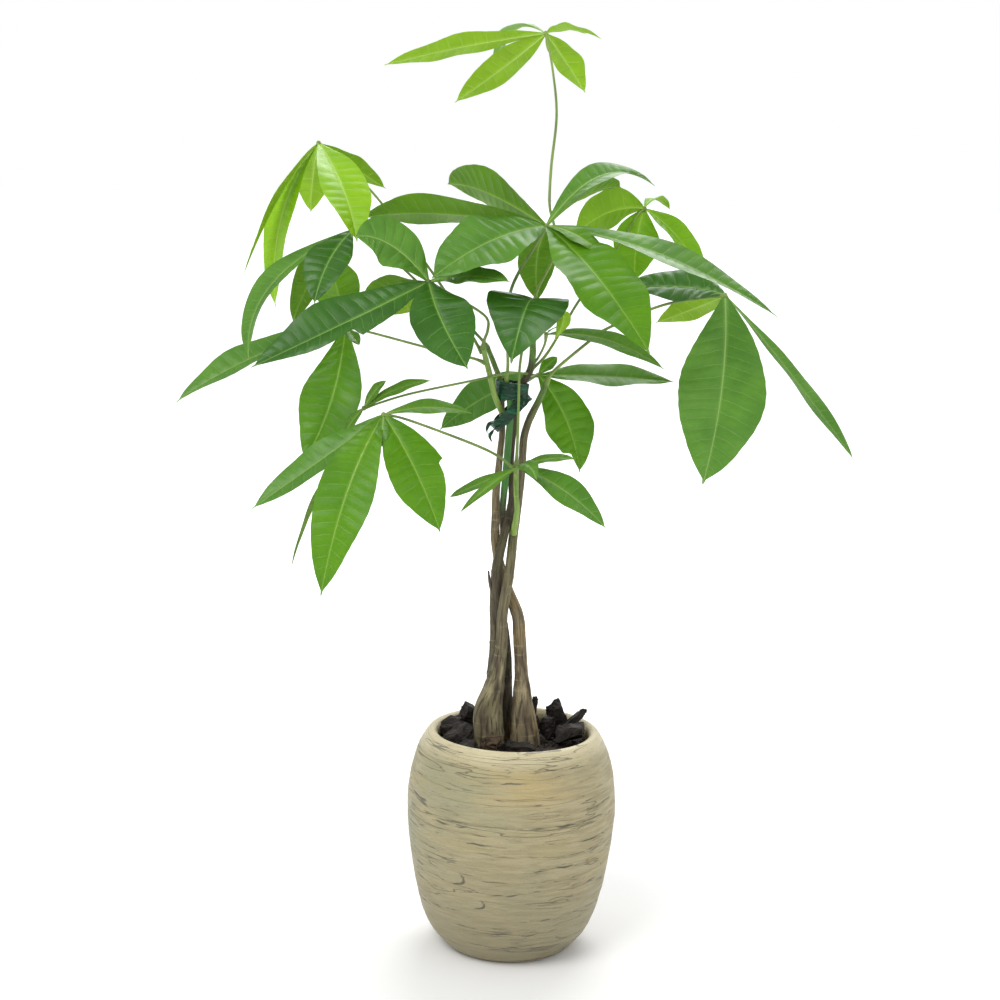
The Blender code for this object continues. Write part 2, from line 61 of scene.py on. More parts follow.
# ----------------------------------------------------------------- materials
class Dye:
    """Lays out the nodes of one material."""

    def __init__(self, name: str) -> None:
        """Start an empty node material.

        Args:
            name: the material's name.
        """
        self.material = bpy.data.materials.new(name)
        self.material.use_nodes = True
        self.tree = self.material.node_tree
        self.tree.nodes.clear()

    def add(self, kind: str, inputs: dict | None = None, **settings: object) -> bpy.types.Node:
        """Add one node.

        Args:
            kind: the node's type name without the ShaderNode in front.
            inputs: socket name or index to a value or to another node's output.
            **settings: properties set on the node itself.

        Returns:
            The new node.
        """
        node = self.tree.nodes.new("ShaderNode" + kind)
        for key, value in settings.items():
            setattr(node, key, value)
        for key, value in (inputs or {}).items():
            if isinstance(value, bpy.types.NodeSocket):
                self.tree.links.new(value, node.inputs[key])
            elif isinstance(value, tuple) and len(value) == 3 and node.inputs[key].type == "RGBA":
                node.inputs[key].default_value = (*value, 1.0)
            else:
                node.inputs[key].default_value = value
        return node

    def place(self) -> bpy.types.NodeSocket:
        """The object's own coordinates, in metres."""
        return self.add("TexCoord").outputs["Object"]

    def layout(self, name: str) -> bpy.types.NodeSocket:
        """The coordinates of one of the piece's UV maps."""
        return self.add("UVMap", uv_map=name).outputs["UV"]

    def split(self, vector: bpy.types.NodeSocket) -> Sequence[bpy.types.NodeSocket]:
        """The three numbers of a vector."""
        return self.add("SeparateXYZ", {"Vector": vector}).outputs

    def stretch(self, vector: bpy.types.NodeSocket, scale: Point) -> bpy.types.NodeSocket:
        """A vector scaled along each axis."""
        return self.add("Mapping", {"Vector": vector, "Scale": scale}).outputs["Vector"]

    def noise(self, vector: bpy.types.NodeSocket, scale: float, detail: float = 4.0,
              distortion: float = 0.0) -> bpy.types.NodeSocket:
        """Cloudy noise from 0 to 1.

        Args:
            vector: where to read the noise.
            scale: lumps per unit.
            detail: octaves.
            distortion: how far the lumps are pulled about.

        Returns:
            The noise value.
        """
        inputs = {"Vector": vector, "Scale": scale, "Detail": detail, "Distortion": distortion}
        return self.add("TexNoise", inputs).outputs["Fac"]

    def sum(self, operation: str, first: object, second: object = 0.0) -> bpy.types.NodeSocket:
        """One step of arithmetic.

        Args:
            operation: the Math node's operation.
            first: first number or socket.
            second: second number or socket.

        Returns:
            The result.
        """
        return self.add("Math", {0: first, 1: second}, operation=operation).outputs[0]

    def step(self, value: object, low: float, high: float, to_low: float = 0.0,
             to_high: float = 1.0) -> bpy.types.NodeSocket:
        """A soft step.

        Args:
            value: what is compared.
            low: where the step begins.
            high: where the step ends.
            to_low: the result up to low.
            to_high: the result from high on.

        Returns:
            The result.
        """
        inputs = {"Value": value, "From Min": low, "From Max": high, "To Min": to_low, "To Max": to_high}
        return self.add("MapRange", inputs, interpolation_type="SMOOTHSTEP").outputs["Result"]

    def blend(self, share: object, first: object, second: object) -> bpy.types.NodeSocket:
        """Two colours mixed.

        Args:
            share: how much of the second.
            first: a colour or socket.
            second: a colour or socket.

        Returns:
            The mixed colour.
        """
        node = self.add("Mix", {0: share, 6: first, 7: second}, data_type="RGBA")
        return node.outputs[2]

    def contour(self, place: bpy.types.NodeSocket, squeeze: Point, scale: float, width: float,
                cover: float) -> bpy.types.NodeSocket:
        """Long thin lines, as the level lines of a squeezed noise, broken into lengths.

        Args:
            place: object coordinates.
            squeeze: how much the noise is squeezed along each axis.
            scale: its scale.
            width: how wide a line is, in noise units.
            cover: noise level above which a stretch of line shows.

        Returns:
            1 on a line and 0 beside it.
        """
        away = self.sum("ABSOLUTE", self.sum("SUBTRACT", self.noise(
            self.stretch(place, squeeze), scale, 3, 0.15), 0.5))
        line = self.step(away, width * 0.2, width, 1.0, 0.0)
        patches = self.noise(self.stretch(place, (1.0, 1.0, 3.0)), scale * 1.3, 3)
        return self.sum("MULTIPLY", line, self.step(patches, cover, cover + 0.06))

    def bump(self, height: object, distance: float, strength: float) -> bpy.types.NodeSocket:
        """Fine relief.

        Args:
            height: relief from 0 to 1.
            distance: how high 1 is, in metres.
            strength: how much of it shows.

        Returns:
            The new normal.
        """
        inputs = {"Height": height, "Distance": distance, "Strength": strength}
        return self.add("Bump", inputs).outputs["Normal"]

    def shader(self, **inputs: object) -> bpy.types.NodeSocket:
        """A Principled shader; an underscore in a socket's name stands for a space."""
        named = {key.replace("_", " "): value for key, value in inputs.items()}
        return self.add("BsdfPrincipled", named).outputs[0]

    def done(self, surface: bpy.types.NodeSocket) -> bpy.types.Material:
        """Join the shader to the output and hand the material over."""
        self.add("OutputMaterial", {"Surface": surface})
        return self.material


class Tone(Enum):
    """Ages and depths of green that the leaflets come in, and one pale tone of painted sheen: a whitish
    grey-green standing in for light glancing off a curled upper side.
    """

    YOUNG = "young"
    LIME = "lime"
    FRESH = "fresh"
    MATURE = "mature"
    DARK = "dark"
    OLIVE = "olive"
    # painted sheen: whitish grey-green standing in for light reflected off a curled leaflet
    PALE = "pale"


@dataclass(frozen=True)
class LeafFinish:
    """Waxy leaf skin with a pale midrib and side veins."""

    top: Colour
    top_dark: Colour
    under: Colour
    vein: Colour
    glow: Colour
    roughness: float = 0.36
    glow_share: float = 0.3

    def make(self, name: str, underside: bool) -> bpy.types.Material:
        """Build the material.

        Args:
            name: the material's name.
            underside: True for the duller, paler lower skin.

        Returns:
            The material.
        """
        dye = Dye(name)
        place = dye.place()
        across, along, _ = dye.split(dye.layout(BLADE_MAP))
        phase, share, _ = dye.split(dye.layout(VEIN_MAP))
        middle = dye.sum("ABSOLUTE", dye.sum("SUBTRACT", across, 0.5))
        taper = dye.sum("MULTIPLY_ADD", along, -0.7)
        taper.node.inputs[2].default_value = 1.0
        from_rib = dye.sum("DIVIDE", dye.sum("MULTIPLY", middle, BLADE_MAP_MM), taper)
        rib = dye.step(from_rib, 0.25, 0.95, 1.0, 0.0)
        near_rib = dye.step(from_rib, 0.5, 3.5, 1.0, 0.0)
        wander = dye.sum("MULTIPLY", dye.sum("SUBTRACT", dye.noise(place, 160, 2), 0.5), 0.24)
        side = dye.sum("PINGPONG", dye.sum("ADD", phase, wander), 0.5)
        fade = dye.step(share, 0.55, 0.98, 1.0, 0.0)
        side_line = dye.sum("MULTIPLY", dye.step(side, 0.0, 0.06, 1.0, 0.0), fade)
        web = dye.add("TexVoronoi", {"Vector": place, "Scale": 620.0}, feature="DISTANCE_TO_EDGE")
        net = dye.step(web.outputs["Distance"], 0.0, 0.12, 1.0, 0.0)
        cloud = dye.noise(place, 38, 3)
        speck = dye.noise(place, 260, 3)
        base = self.under if underside else self.top
        deep = tuple(0.72 * v for v in self.under) if underside else self.top_dark
        skin = dye.blend(dye.step(cloud, 0.3, 0.72), base, deep)
        skin = dye.blend(dye.step(speck, 0.35, 0.8, 0.0, 0.28), skin, deep)
        # Painted shade: the skin is darkened in bands either side of each side vein, where the quilted
        # panels dip to the vein.
        vein_groove_shade = dye.step(side, 0.08, 0.46, 0.22, 0.0)
        skin = dye.blend(vein_groove_shade, skin, deep)
        skin = dye.blend(dye.sum("MULTIPLY", side_line, 0.42 if underside else 0.3), skin, self.vein)
        skin = dye.blend(dye.sum("MULTIPLY", near_rib, 0.25), skin, self.vein)
        skin = dye.blend(dye.sum("MULTIPLY", net, 0.07), skin, self.vein)
        skin = dye.blend(dye.sum("MULTIPLY", rib, 0.88), skin, self.vein)
        lift = -0.6 if not underside else 0.9
        relief = dye.sum("MULTIPLY", side_line, lift)
        relief = dye.sum("ADD", relief, dye.sum("MULTIPLY", rib, 1.0 if underside else 0.55))
        relief = dye.sum("ADD", relief, dye.sum("MULTIPLY", net, -0.08))
        relief = dye.sum("ADD", relief, dye.sum("MULTIPLY", speck, 0.3))
        normal = dye.bump(relief, 0.00022, 0.8)
        low = self.roughness + (0.16 if underside else 0.0)
        gloss = dye.step(cloud, 0.25, 0.8, low, low + 0.14)
        wax = dye.shader(Base_Color=skin, Roughness=gloss, Normal=normal, Specular_IOR_Level=0.34)
        lit = dye.blend(dye.sum("MULTIPLY", side_line, 0.3), self.glow, self.vein)
        lit = dye.blend(dye.sum("MULTIPLY", rib, 0.6), lit, self.vein)
        through = dye.add("BsdfTranslucent", {"Color": lit, "Normal": normal}).outputs[0]
        both = dye.add("MixShader", {0: self.glow_share, 1: wax, 2: through}).outputs[0]
        return dye.done(both)


LEAF_FINISHES: dict[Tone, LeafFinish] = {
    Tone.YOUNG: LeafFinish((0.31, 0.55, 0.008), (0.22, 0.45, 0.006), (0.31, 0.50, 0.025),
                           (0.54, 0.74, 0.16), (0.50, 0.76, 0.01), 0.30, 0.36),
    Tone.LIME: LeafFinish((0.20, 0.42, 0.004), (0.14, 0.33, 0.003), (0.22, 0.40, 0.008),
                          (0.42, 0.62, 0.08), (0.40, 0.68, 0.005), 0.34, 0.36),
    Tone.FRESH: LeafFinish((0.115, 0.295, 0.003), (0.070, 0.215, 0.002), (0.13, 0.29, 0.005),
                           (0.30, 0.50, 0.08), (0.30, 0.58, 0.003), 0.30, 0.30),
    Tone.MATURE: LeafFinish((0.115, 0.285, 0.028), (0.068, 0.200, 0.016), (0.15, 0.30, 0.045),
                            (0.30, 0.50, 0.12), (0.22, 0.50, 0.02), 0.28, 0.22),
    Tone.DARK: LeafFinish((0.044, 0.155, 0.012), (0.026, 0.108, 0.007), (0.080, 0.19, 0.022),
                          (0.22, 0.42, 0.08), (0.13, 0.36, 0.01), 0.27, 0.18),
    Tone.OLIVE: LeafFinish((0.125, 0.31, 0.022), (0.090, 0.235, 0.016), (0.17, 0.32, 0.035),
                           (0.30, 0.48, 0.09), (0.27, 0.52, 0.02), 0.44, 0.24),
    # Painted sheen: the pale tone's whitish grey-greens stand in for light reflected off a curled leaflet's
    # upper side.
    Tone.PALE: LeafFinish((0.33, 0.52, 0.19), (0.25, 0.45, 0.13), (0.36, 0.54, 0.22),
                          (0.50, 0.68, 0.25), (0.45, 0.70, 0.16), 0.36, 0.35),
}


@dataclass(frozen=True)
class StalkFinish:
    """Smooth green stalk in paler and darker streaks, with fine dark flecks."""

    light: Colour = (0.20, 0.30, 0.05)
    dark: Colour = (0.085, 0.15, 0.028)
    roughness: float = 0.42

    def make(self, name: str) -> bpy.types.Material:
        """Build the material under the given name."""
        dye = Dye(name)
        place = dye.place()
        drift = dye.noise(dye.stretch(place, (1, 1, 0.35)), 55, 3)
        fleck = dye.noise(place, 900, 2)
        skin = dye.blend(dye.step(drift, 0.3, 0.7), self.light, self.dark)
        skin = dye.blend(dye.step(fleck, 0.55, 0.8, 0.0, 0.35), skin, self.dark)
        normal = dye.bump(fleck, 0.0001, 0.5)
        rough = dye.step(drift, 0.2, 0.8, self.roughness, self.roughness + 0.15)
        return dye.done(dye.shader(Base_Color=skin, Roughness=rough, Normal=normal))


@dataclass(frozen=True)
class BarkFinish:
    """Fissured bark: streaks that run along the stem, lichen and moss tints."""

    light: Colour
    middle: Colour
    dark: Colour
    tint: Colour
    tint_share: float = 0.4
    roughness: float = 0.8
    relief: float = 0.0007
    green_from: float = 1.0
    green: Colour = (0.12, 0.25, 0.05)
    rust: Colour = (0.26, 0.15, 0.05)

    def make(self, name: str) -> bpy.types.Material:
        """Build the material under the given name."""
        dye = Dye(name)
        place = dye.place()
        along = dye.layout(BARK_MAP)
        streak = dye.noise(dye.stretch(along, (1.0, 0.13, 1.0)), 30, 6, 0.5)
        fine = dye.noise(dye.stretch(along, (1.0, 0.09, 1.0)), 80, 5, 0.3)
        cracks = dye.step(fine, 0.34, 0.5, 1.0, 0.0)
        patch = dye.noise(place, 48, 4)
        grit = dye.noise(place, 700, 3)
        rings = dye.noise(dye.stretch(along, (0.12, 1.0, 1.0)), 22, 3)
        skin = dye.blend(dye.step(streak, 0.32, 0.62), self.dark, self.middle)
        skin = dye.blend(dye.step(streak, 0.55, 0.78, 0.0, 0.85), skin, self.light)
        level = dye.split(place)[2]
        skin = dye.blend(dye.step(level, 0.22, 0.31, 0.0, 0.6), skin, self.middle)
        skin = dye.blend(dye.step(patch, 0.45, 0.68, 0.0, self.tint_share), skin, self.tint)
        skin = dye.blend(dye.step(rings, 0.6, 0.72, 0.0, 0.45), skin, self.light)
        open_cracks = dye.sum("MULTIPLY", cracks, dye.step(level, 0.21, 0.30, 0.75, 0.3))
        skin = dye.blend(open_cracks, skin, tuple(0.4 * v for v in self.dark))
        skin = dye.blend(dye.step(grit, 0.5, 0.8, 0.0, 0.3), skin, self.dark)
        rise = dye.sum("ADD", level, dye.sum("MULTIPLY", dye.sum("SUBTRACT", patch, 0.5), 0.05))
        skin = dye.blend(dye.step(rise, self.green_from, self.green_from + 0.03, 0.0, 0.9), skin, self.green)
        low_down = dye.step(rise, 0.175, 0.215, 1.0, 0.0)
        rust = dye.sum("MULTIPLY", low_down, dye.step(patch, 0.52, 0.7, 0.0, 0.7))
        skin = dye.blend(rust, skin, self.rust)
        height = dye.sum("SUBTRACT", streak, dye.sum("MULTIPLY", cracks, 0.8))
        height = dye.sum("ADD", height, dye.sum("MULTIPLY", grit, 0.25))
        normal = dye.bump(height, self.relief, 0.9)
        rough = dye.step(patch, 0.3, 0.7, self.roughness, min(self.roughness + 0.12, 1.0))
        return dye.done(dye.shader(Base_Color=skin, Roughness=rough, Normal=normal))


@dataclass(frozen=True)
class PotFinish:
    """Cast cement with the grain of driftwood, dark in its grooves, with painted shade darkening it towards
    the foot and a painted highlight lightening the lip.
    """

    base: Colour = (0.295, 0.252, 0.138)
    light: Colour = (0.370, 0.320, 0.185)
    ochre: Colour = (0.43, 0.325, 0.135)
    green: Colour = (0.255, 0.260, 0.160)
    groove: Colour = (0.090, 0.086, 0.060)
    # Painted shade blended in towards the bottom of the pot; also the colour of the fine hair lines of the
    # grain.
    foot: Colour = (0.24, 0.21, 0.135)
    # Painted highlight blended onto the lip, as if lit from above.
    lip: Colour = (0.62, 0.545, 0.355)
    squeeze: Point = (1.0, 1.0, 17.0)

    def make(self, name: str) -> bpy.types.Material:
        """Build the material under the given name."""
        dye = Dye(name)
        place = dye.place()
        level = dye.stretch(place, (1.0, 1.0, 9.0))
        depth = dye.add("Attribute", attribute_name=GROOVE_MARK).outputs["Fac"]
        grain = dye.noise(level, 36, 6, 0.8)
        hair = dye.noise(dye.stretch(place, (1.0, 1.0, 16.0)), 75, 5, 0.5)
        cloud = dye.noise(place, 13, 3)
        band = dye.noise(dye.stretch(place, (0.6, 0.6, 3.0)), 11, 3)
        grit = dye.noise(place, 900, 3)
        side = dye.split(place)[0]
        skin = dye.blend(dye.step(grain, 0.32, 0.66), self.base, self.light)
        skin = dye.blend(dye.step(band, 0.52, 0.70, 0.0, 0.6), skin, self.ochre)
        left = dye.sum("ADD", dye.step(side, -0.09, 0.03, 0.28, 0.0), dye.step(cloud, 0.46, 0.7, 0.0, 0.5))
        skin = dye.blend(left, skin, self.green)
        rise = dye.split(place)[2]
        # Painted shade: darker towards the bottom, where less light falls.
        skin = dye.blend(dye.step(rise, 0.0, 0.125, 0.55, 0.0), skin, self.foot)
        # Painted highlight: the lip lighter, as if lit from above.
        skin = dye.blend(dye.step(rise, 0.160, 0.176, 0.0, 0.7), skin, self.lip)
        lines = dye.step(hair, 0.28, 0.42, 0.5, 0.0)
        skin = dye.blend(lines, skin, self.foot)
        long_lines = dye.contour(place, self.squeeze, 7, 0.008, 0.44)
        short_lines = dye.contour(place, self.squeeze, 15, 0.012, 0.54)
        thin = dye.sum("MAXIMUM", long_lines, dye.sum("MULTIPLY", short_lines, 0.7))
        skin = dye.blend(dye.sum("MULTIPLY", thin, 0.72), skin, self.groove)
        skin = dye.blend(dye.step(depth, 0.08, 0.6, 0.0, 0.88), skin, self.groove)
        skin = dye.blend(dye.step(grit, 0.56, 0.8, 0.0, 0.35), skin, self.groove)
        height = dye.sum("ADD", dye.sum("MULTIPLY", hair, 0.8), dye.sum("MULTIPLY", grit, 0.22))
        height = dye.sum("ADD", height, dye.sum("MULTIPLY", grain, 0.7))
        height = dye.sum("SUBTRACT", height, dye.sum("MULTIPLY", thin, 0.9))
        normal = dye.bump(height, 0.0006, 0.8)
        satin = dye.step(rise, 0.162, 0.174, 0.0, 0.16)
        rough = dye.sum("SUBTRACT", dye.step(grain, 0.3, 0.7, 0.62, 0.48), satin)
        return dye.done(dye.shader(Base_Color=skin, Roughness=rough, Normal=normal,
                                   Specular_IOR_Level=0.42))


@dataclass(frozen=True)
class CharredBarkFinish:
    """Nearly black bark with long fibres and a dull shine on broken planes."""

    dark: Colour = (0.007, 0.006, 0.005)
    light: Colour = (0.034, 0.025, 0.020)
    roughness: float = 0.6

    def make(self, name: str) -> bpy.types.Material:
        """Build the material under the given name."""
        dye = Dye(name)
        place = dye.place()
        fibre = dye.noise(dye.stretch(place, (1.0, 5.0, 3.0)), 110, 6, 0.4)
        patch = dye.noise(place, 130, 3)
        grit = dye.noise(place, 1400, 2)
        skin = dye.blend(dye.step(fibre, 0.35, 0.72), self.dark, self.light)
        skin = dye.blend(dye.step(patch, 0.58, 0.75, 0.0, 0.5), skin, tuple(1.9 * v for v in self.light))
        height = dye.sum("ADD", fibre, dye.sum("MULTIPLY", grit, 0.25))
        normal = dye.bump(height, 0.0008, 0.8)
        rough = dye.step(patch, 0.3, 0.7, self.roughness, self.roughness + 0.3)
        return dye.done(dye.shader(Base_Color=skin, Roughness=rough, Normal=normal,
                                   Specular_IOR_Level=0.3))


@dataclass(frozen=True)
class SoilFinish:
    """Damp potting mix: almost black with brown and tan specks."""

    dark: Colour = (0.010, 0.008, 0.006)
    brown: Colour = (0.045, 0.030, 0.020)
    speck: Colour = (0.22, 0.15, 0.08)

    def make(self, name: str) -> bpy.types.Material:
        """Build the material under the given name."""
        dye = Dye(name)
        place = dye.place()
        lump = dye.noise(place, 240, 5)
        fleck = dye.noise(place, 900, 2)
        skin = dye.blend(dye.step(lump, 0.35, 0.7), self.dark, self.brown)
        skin = dye.blend(dye.step(fleck, 0.66, 0.74, 0.0, 0.8), skin, self.speck)
        height = dye.sum("ADD", lump, dye.sum("MULTIPLY", fleck, 0.4))
        normal = dye.bump(height, 0.0012, 0.9)
        rough = dye.step(lump, 0.3, 0.7, 0.98, 0.8)
        return dye.done(dye.shader(Base_Color=skin, Roughness=rough, Normal=normal))


@dataclass(frozen=True)
class TapeFinish:
    """Stretched plastic garden tape, very dark green and shiny."""

    dark: Colour = (0.001, 0.030, 0.013)
    bright: Colour = (0.002, 0.150, 0.050)
    roughness: float = 0.2

    def make(self, name: str) -> bpy.types.Material:
        """Build the material under the given name."""
        dye = Dye(name)
        place = dye.place()
        pull = dye.noise(dye.stretch(place, (1.0, 1.0, 3.5)), 130, 4, 0.5)
        crease = dye.noise(dye.stretch(place, (1.0, 1.0, 4.0)), 420, 3)
        skin = dye.blend(dye.step(pull, 0.48, 0.75), self.dark, self.bright)
        normal = dye.bump(dye.sum("ADD", pull, dye.sum("MULTIPLY", crease, 0.5)), 0.0006, 0.8)
        rough = dye.step(crease, 0.3, 0.7, self.roughness, self.roughness + 0.25)
        return dye.done(dye.shader(Base_Color=skin, Roughness=rough, Normal=normal,
                                   Specular_IOR_Level=0.32))


@dataclass(frozen=True)
class FloorFinish:
    """Plain pale studio floor."""

    colour: Colour = (0.90, 0.90, 0.90)
    near: float = 0.25
    far: float = 1.3
    glow: float = 0.6

    def make(self, name: str) -> bpy.types.Material:
        """Build the material under the given name: it glows further from the middle."""
        dye = Dye(name)
        place = dye.place()
        cloud = dye.noise(place, 2.0, 2)
        skin = dye.blend(dye.step(cloud, 0.2, 0.8), self.colour, tuple(0.985 * v for v in self.colour))
        across, back, _ = dye.split(place)
        squared = dye.sum("ADD", dye.sum("MULTIPLY", across, across), dye.sum("MULTIPLY", back, back))
        shine = dye.step(dye.sum("SQRT", squared), self.near, self.far, 0.0, self.glow)
        return dye.done(dye.shader(Base_Color=skin, Roughness=0.9, Emission_Color=(1.0, 1.0, 1.0, 1.0),
                                   Emission_Strength=shine))


# -------------------------------------------------------------- mesh helpers
BLADE_MAP = "blade"
VEIN_MAP = "veins"
BARK_MAP = "bark"
GROOVE_MARK = "groove"
BLADE_MAP_MM = 100.0  # the width across a blade that one unit of its map stands for
BARK_MAP_MM = 100.0


def deselect_all() -> None:
    """Leave nothing selected, as every operator acts on all that is."""
    bpy.ops.object.select_all(action="DESELECT")


def make_active(item: bpy.types.Object) -> None:
    """Select one object alone and make it the active one."""
    deselect_all()
    item.select_set(True)
    bpy.context.view_layer.objects.active = item


def new_object(name: str, mesh: bpy.types.Mesh) -> bpy.types.Object:
    """Link a mesh to the scene as an object at the origin."""
    item = bpy.data.objects.new(name, mesh)
    bpy.context.scene.collection.objects.link(item)
    return item


def apply_all(item: bpy.types.Object) -> None:
    """Apply every modifier of an object by operator."""
    make_active(item)
    for modifier in list(item.modifiers):
        bpy.ops.object.modifier_apply(modifier=modifier.name)


def settle(item: bpy.types.Object) -> None:
    """Bake an object's place, turn and size into its mesh."""
    make_active(item)
    bpy.ops.object.transform_apply(location=True, rotation=True, scale=True)


def smooth(item: bpy.types.Object, degrees: float) -> None:
    """Shade smooth, but keep edges sharper than an angle hard."""
    make_active(item)
    bpy.ops.object.shade_smooth_by_angle(angle=math.radians(degrees))


def hand_over(piece: bpy.types.Object, node: str) -> None:
    """Let a finished piece stand for its node of the frame.

    Args:
        piece: the finished piece.
        node: the node it replaces.
    """
    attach(piece, BODY)
    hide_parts(node)
    LOG.info("%s stands for %s: %d faces", piece.name, node, len(piece.data.polygons))


def smooth_path(points: Sequence[RadiusPoint], spacing: float) -> list[tuple[Vector, float]]:
    """Run a smooth curve through points.

    Args:
        points: x, y, z and radius of each point, in millimetres.
        spacing: about how far apart the new points are, in millimetres.

    Returns:
        Place and radius of each new point, still in millimetres.
    """
    rows = [np.array(p, float) for p in points]
    rows = [2 * rows[0] - rows[1], *rows, 2 * rows[-1] - rows[-2]]
    path = []
    for before, start, end, after in zip(rows, rows[1:], rows[2:], rows[3:]):
        steps = max(1, round(float(np.linalg.norm(end[:3] - start[:3])) / spacing))
        for k in range(steps):
            t = k / steps
            here = 0.5 * (2 * start + (end - before) * t
                          + (2 * before - 5 * start + 4 * end - after) * t ** 2
                          + (3 * start - before - 3 * end + after) * t ** 3)
            path.append((Vector(here[:3]), float(here[3])))
    path.append((Vector(rows[-2][:3]), float(rows[-2][3])))
    return path


class Loft:
    """Closed round skins added one after another to one mesh."""

    def __init__(self) -> None:
        """Start with an empty mesh that has the bark map."""
        self.mesh = bmesh.new()
        self.map = self.mesh.loops.layers.uv.new(BARK_MAP)

    def tube(self, path: Sequence[tuple[Vector, float]], sides: int,
             swell: Callable[[float, float, Vector, float], float] | None = None) -> None:
        """Skin a path with a tube closed at both ends.

        Args:
            path: place and radius of each ring, in millimetres.
            sides: faces round the tube.
            swell: function of (distance along, turn, place, radius) to the radius there.
        """
        side = Vector((1, 0, 0))
        rings = []
        run = 0.0
        runs = []
        for i, (centre, radius) in enumerate(path):
            ahead = (path[min(i + 1, len(path) - 1)][0] - path[max(i - 1, 0)][0]).normalized()
            side = (side - ahead * side.dot(ahead)).normalized()
            other = ahead.cross(side)
            if i:
                run += (centre - path[i - 1][0]).length
            ring = []
            for k in range(sides):
                turn = math.tau * k / sides
                out = side * math.cos(turn) + other * math.sin(turn)
                here = swell(run, turn, centre, radius) if swell else radius
                ring.append(self.mesh.verts.new((centre + out * here) * MM))
            rings.append(ring)
            runs.append(run)
        girth = math.tau * sum(radius for _, radius in path) / len(path)
        for i, (low, high) in enumerate(zip(rings, rings[1:])):
            for k in range(sides):
                nxt = (k + 1) % sides
                face = self.mesh.faces.new((low[k], low[nxt], high[nxt], high[k]))
                face.smooth = True
                corners = ((k, runs[i]), (k + 1, runs[i]), (k + 1, runs[i + 1]), (k, runs[i + 1]))
                for loop, (turn, along) in zip(face.loops, corners):
                    loop[self.map].uv = (turn / sides * girth / BARK_MAP_MM, along / BARK_MAP_MM)
        for ring in (list(reversed(rings[0])), rings[-1]):
            self.mesh.faces.new(ring)

    def finish(self, name: str, materials: Sequence[bpy.types.Material]) -> bpy.types.Object:
        """Turn the mesh into an object.

        Args:
            name: the object's name.
            materials: its material slots, in order.

        Returns:
            The object.
        """
        mesh = bpy.data.meshes.new(name)
        self.mesh.to_mesh(mesh)
        self.mesh.free()
        for material in materials:
            mesh.materials.append(material)
        return new_object(name, mesh)


# -------------------------------------------------------------------- plans
@dataclass(frozen=True)
class Blade:
    """One leaflet of a compound leaf, from the point where its leaf's leaflets meet.

    `torn` says from how far along, by what share and on which side an edge has gone.
    """

    middle: Point
    tip: Point
    width: float
    face: Point
    tone: Tone = Tone.MATURE
    fold: float = 0.14
    ripple: float = 0.05
    quilt: float = 1.0
    blunt: float = 0.0
    torn: Point = (1.0, 0.0, 1.0)


@dataclass(frozen=True)
class LeafPlan:
    """Where a compound leaf's leaflets meet, its stalk and its leaflets."""

    hub: Point
    stalk: Sequence[RadiusPoint]
    blades: Sequence[Blade]


Y, G, F, M, D, O, P = (Tone.YOUNG, Tone.LIME, Tone.FRESH, Tone.MATURE, Tone.DARK, Tone.OLIVE,
                       Tone.PALE)

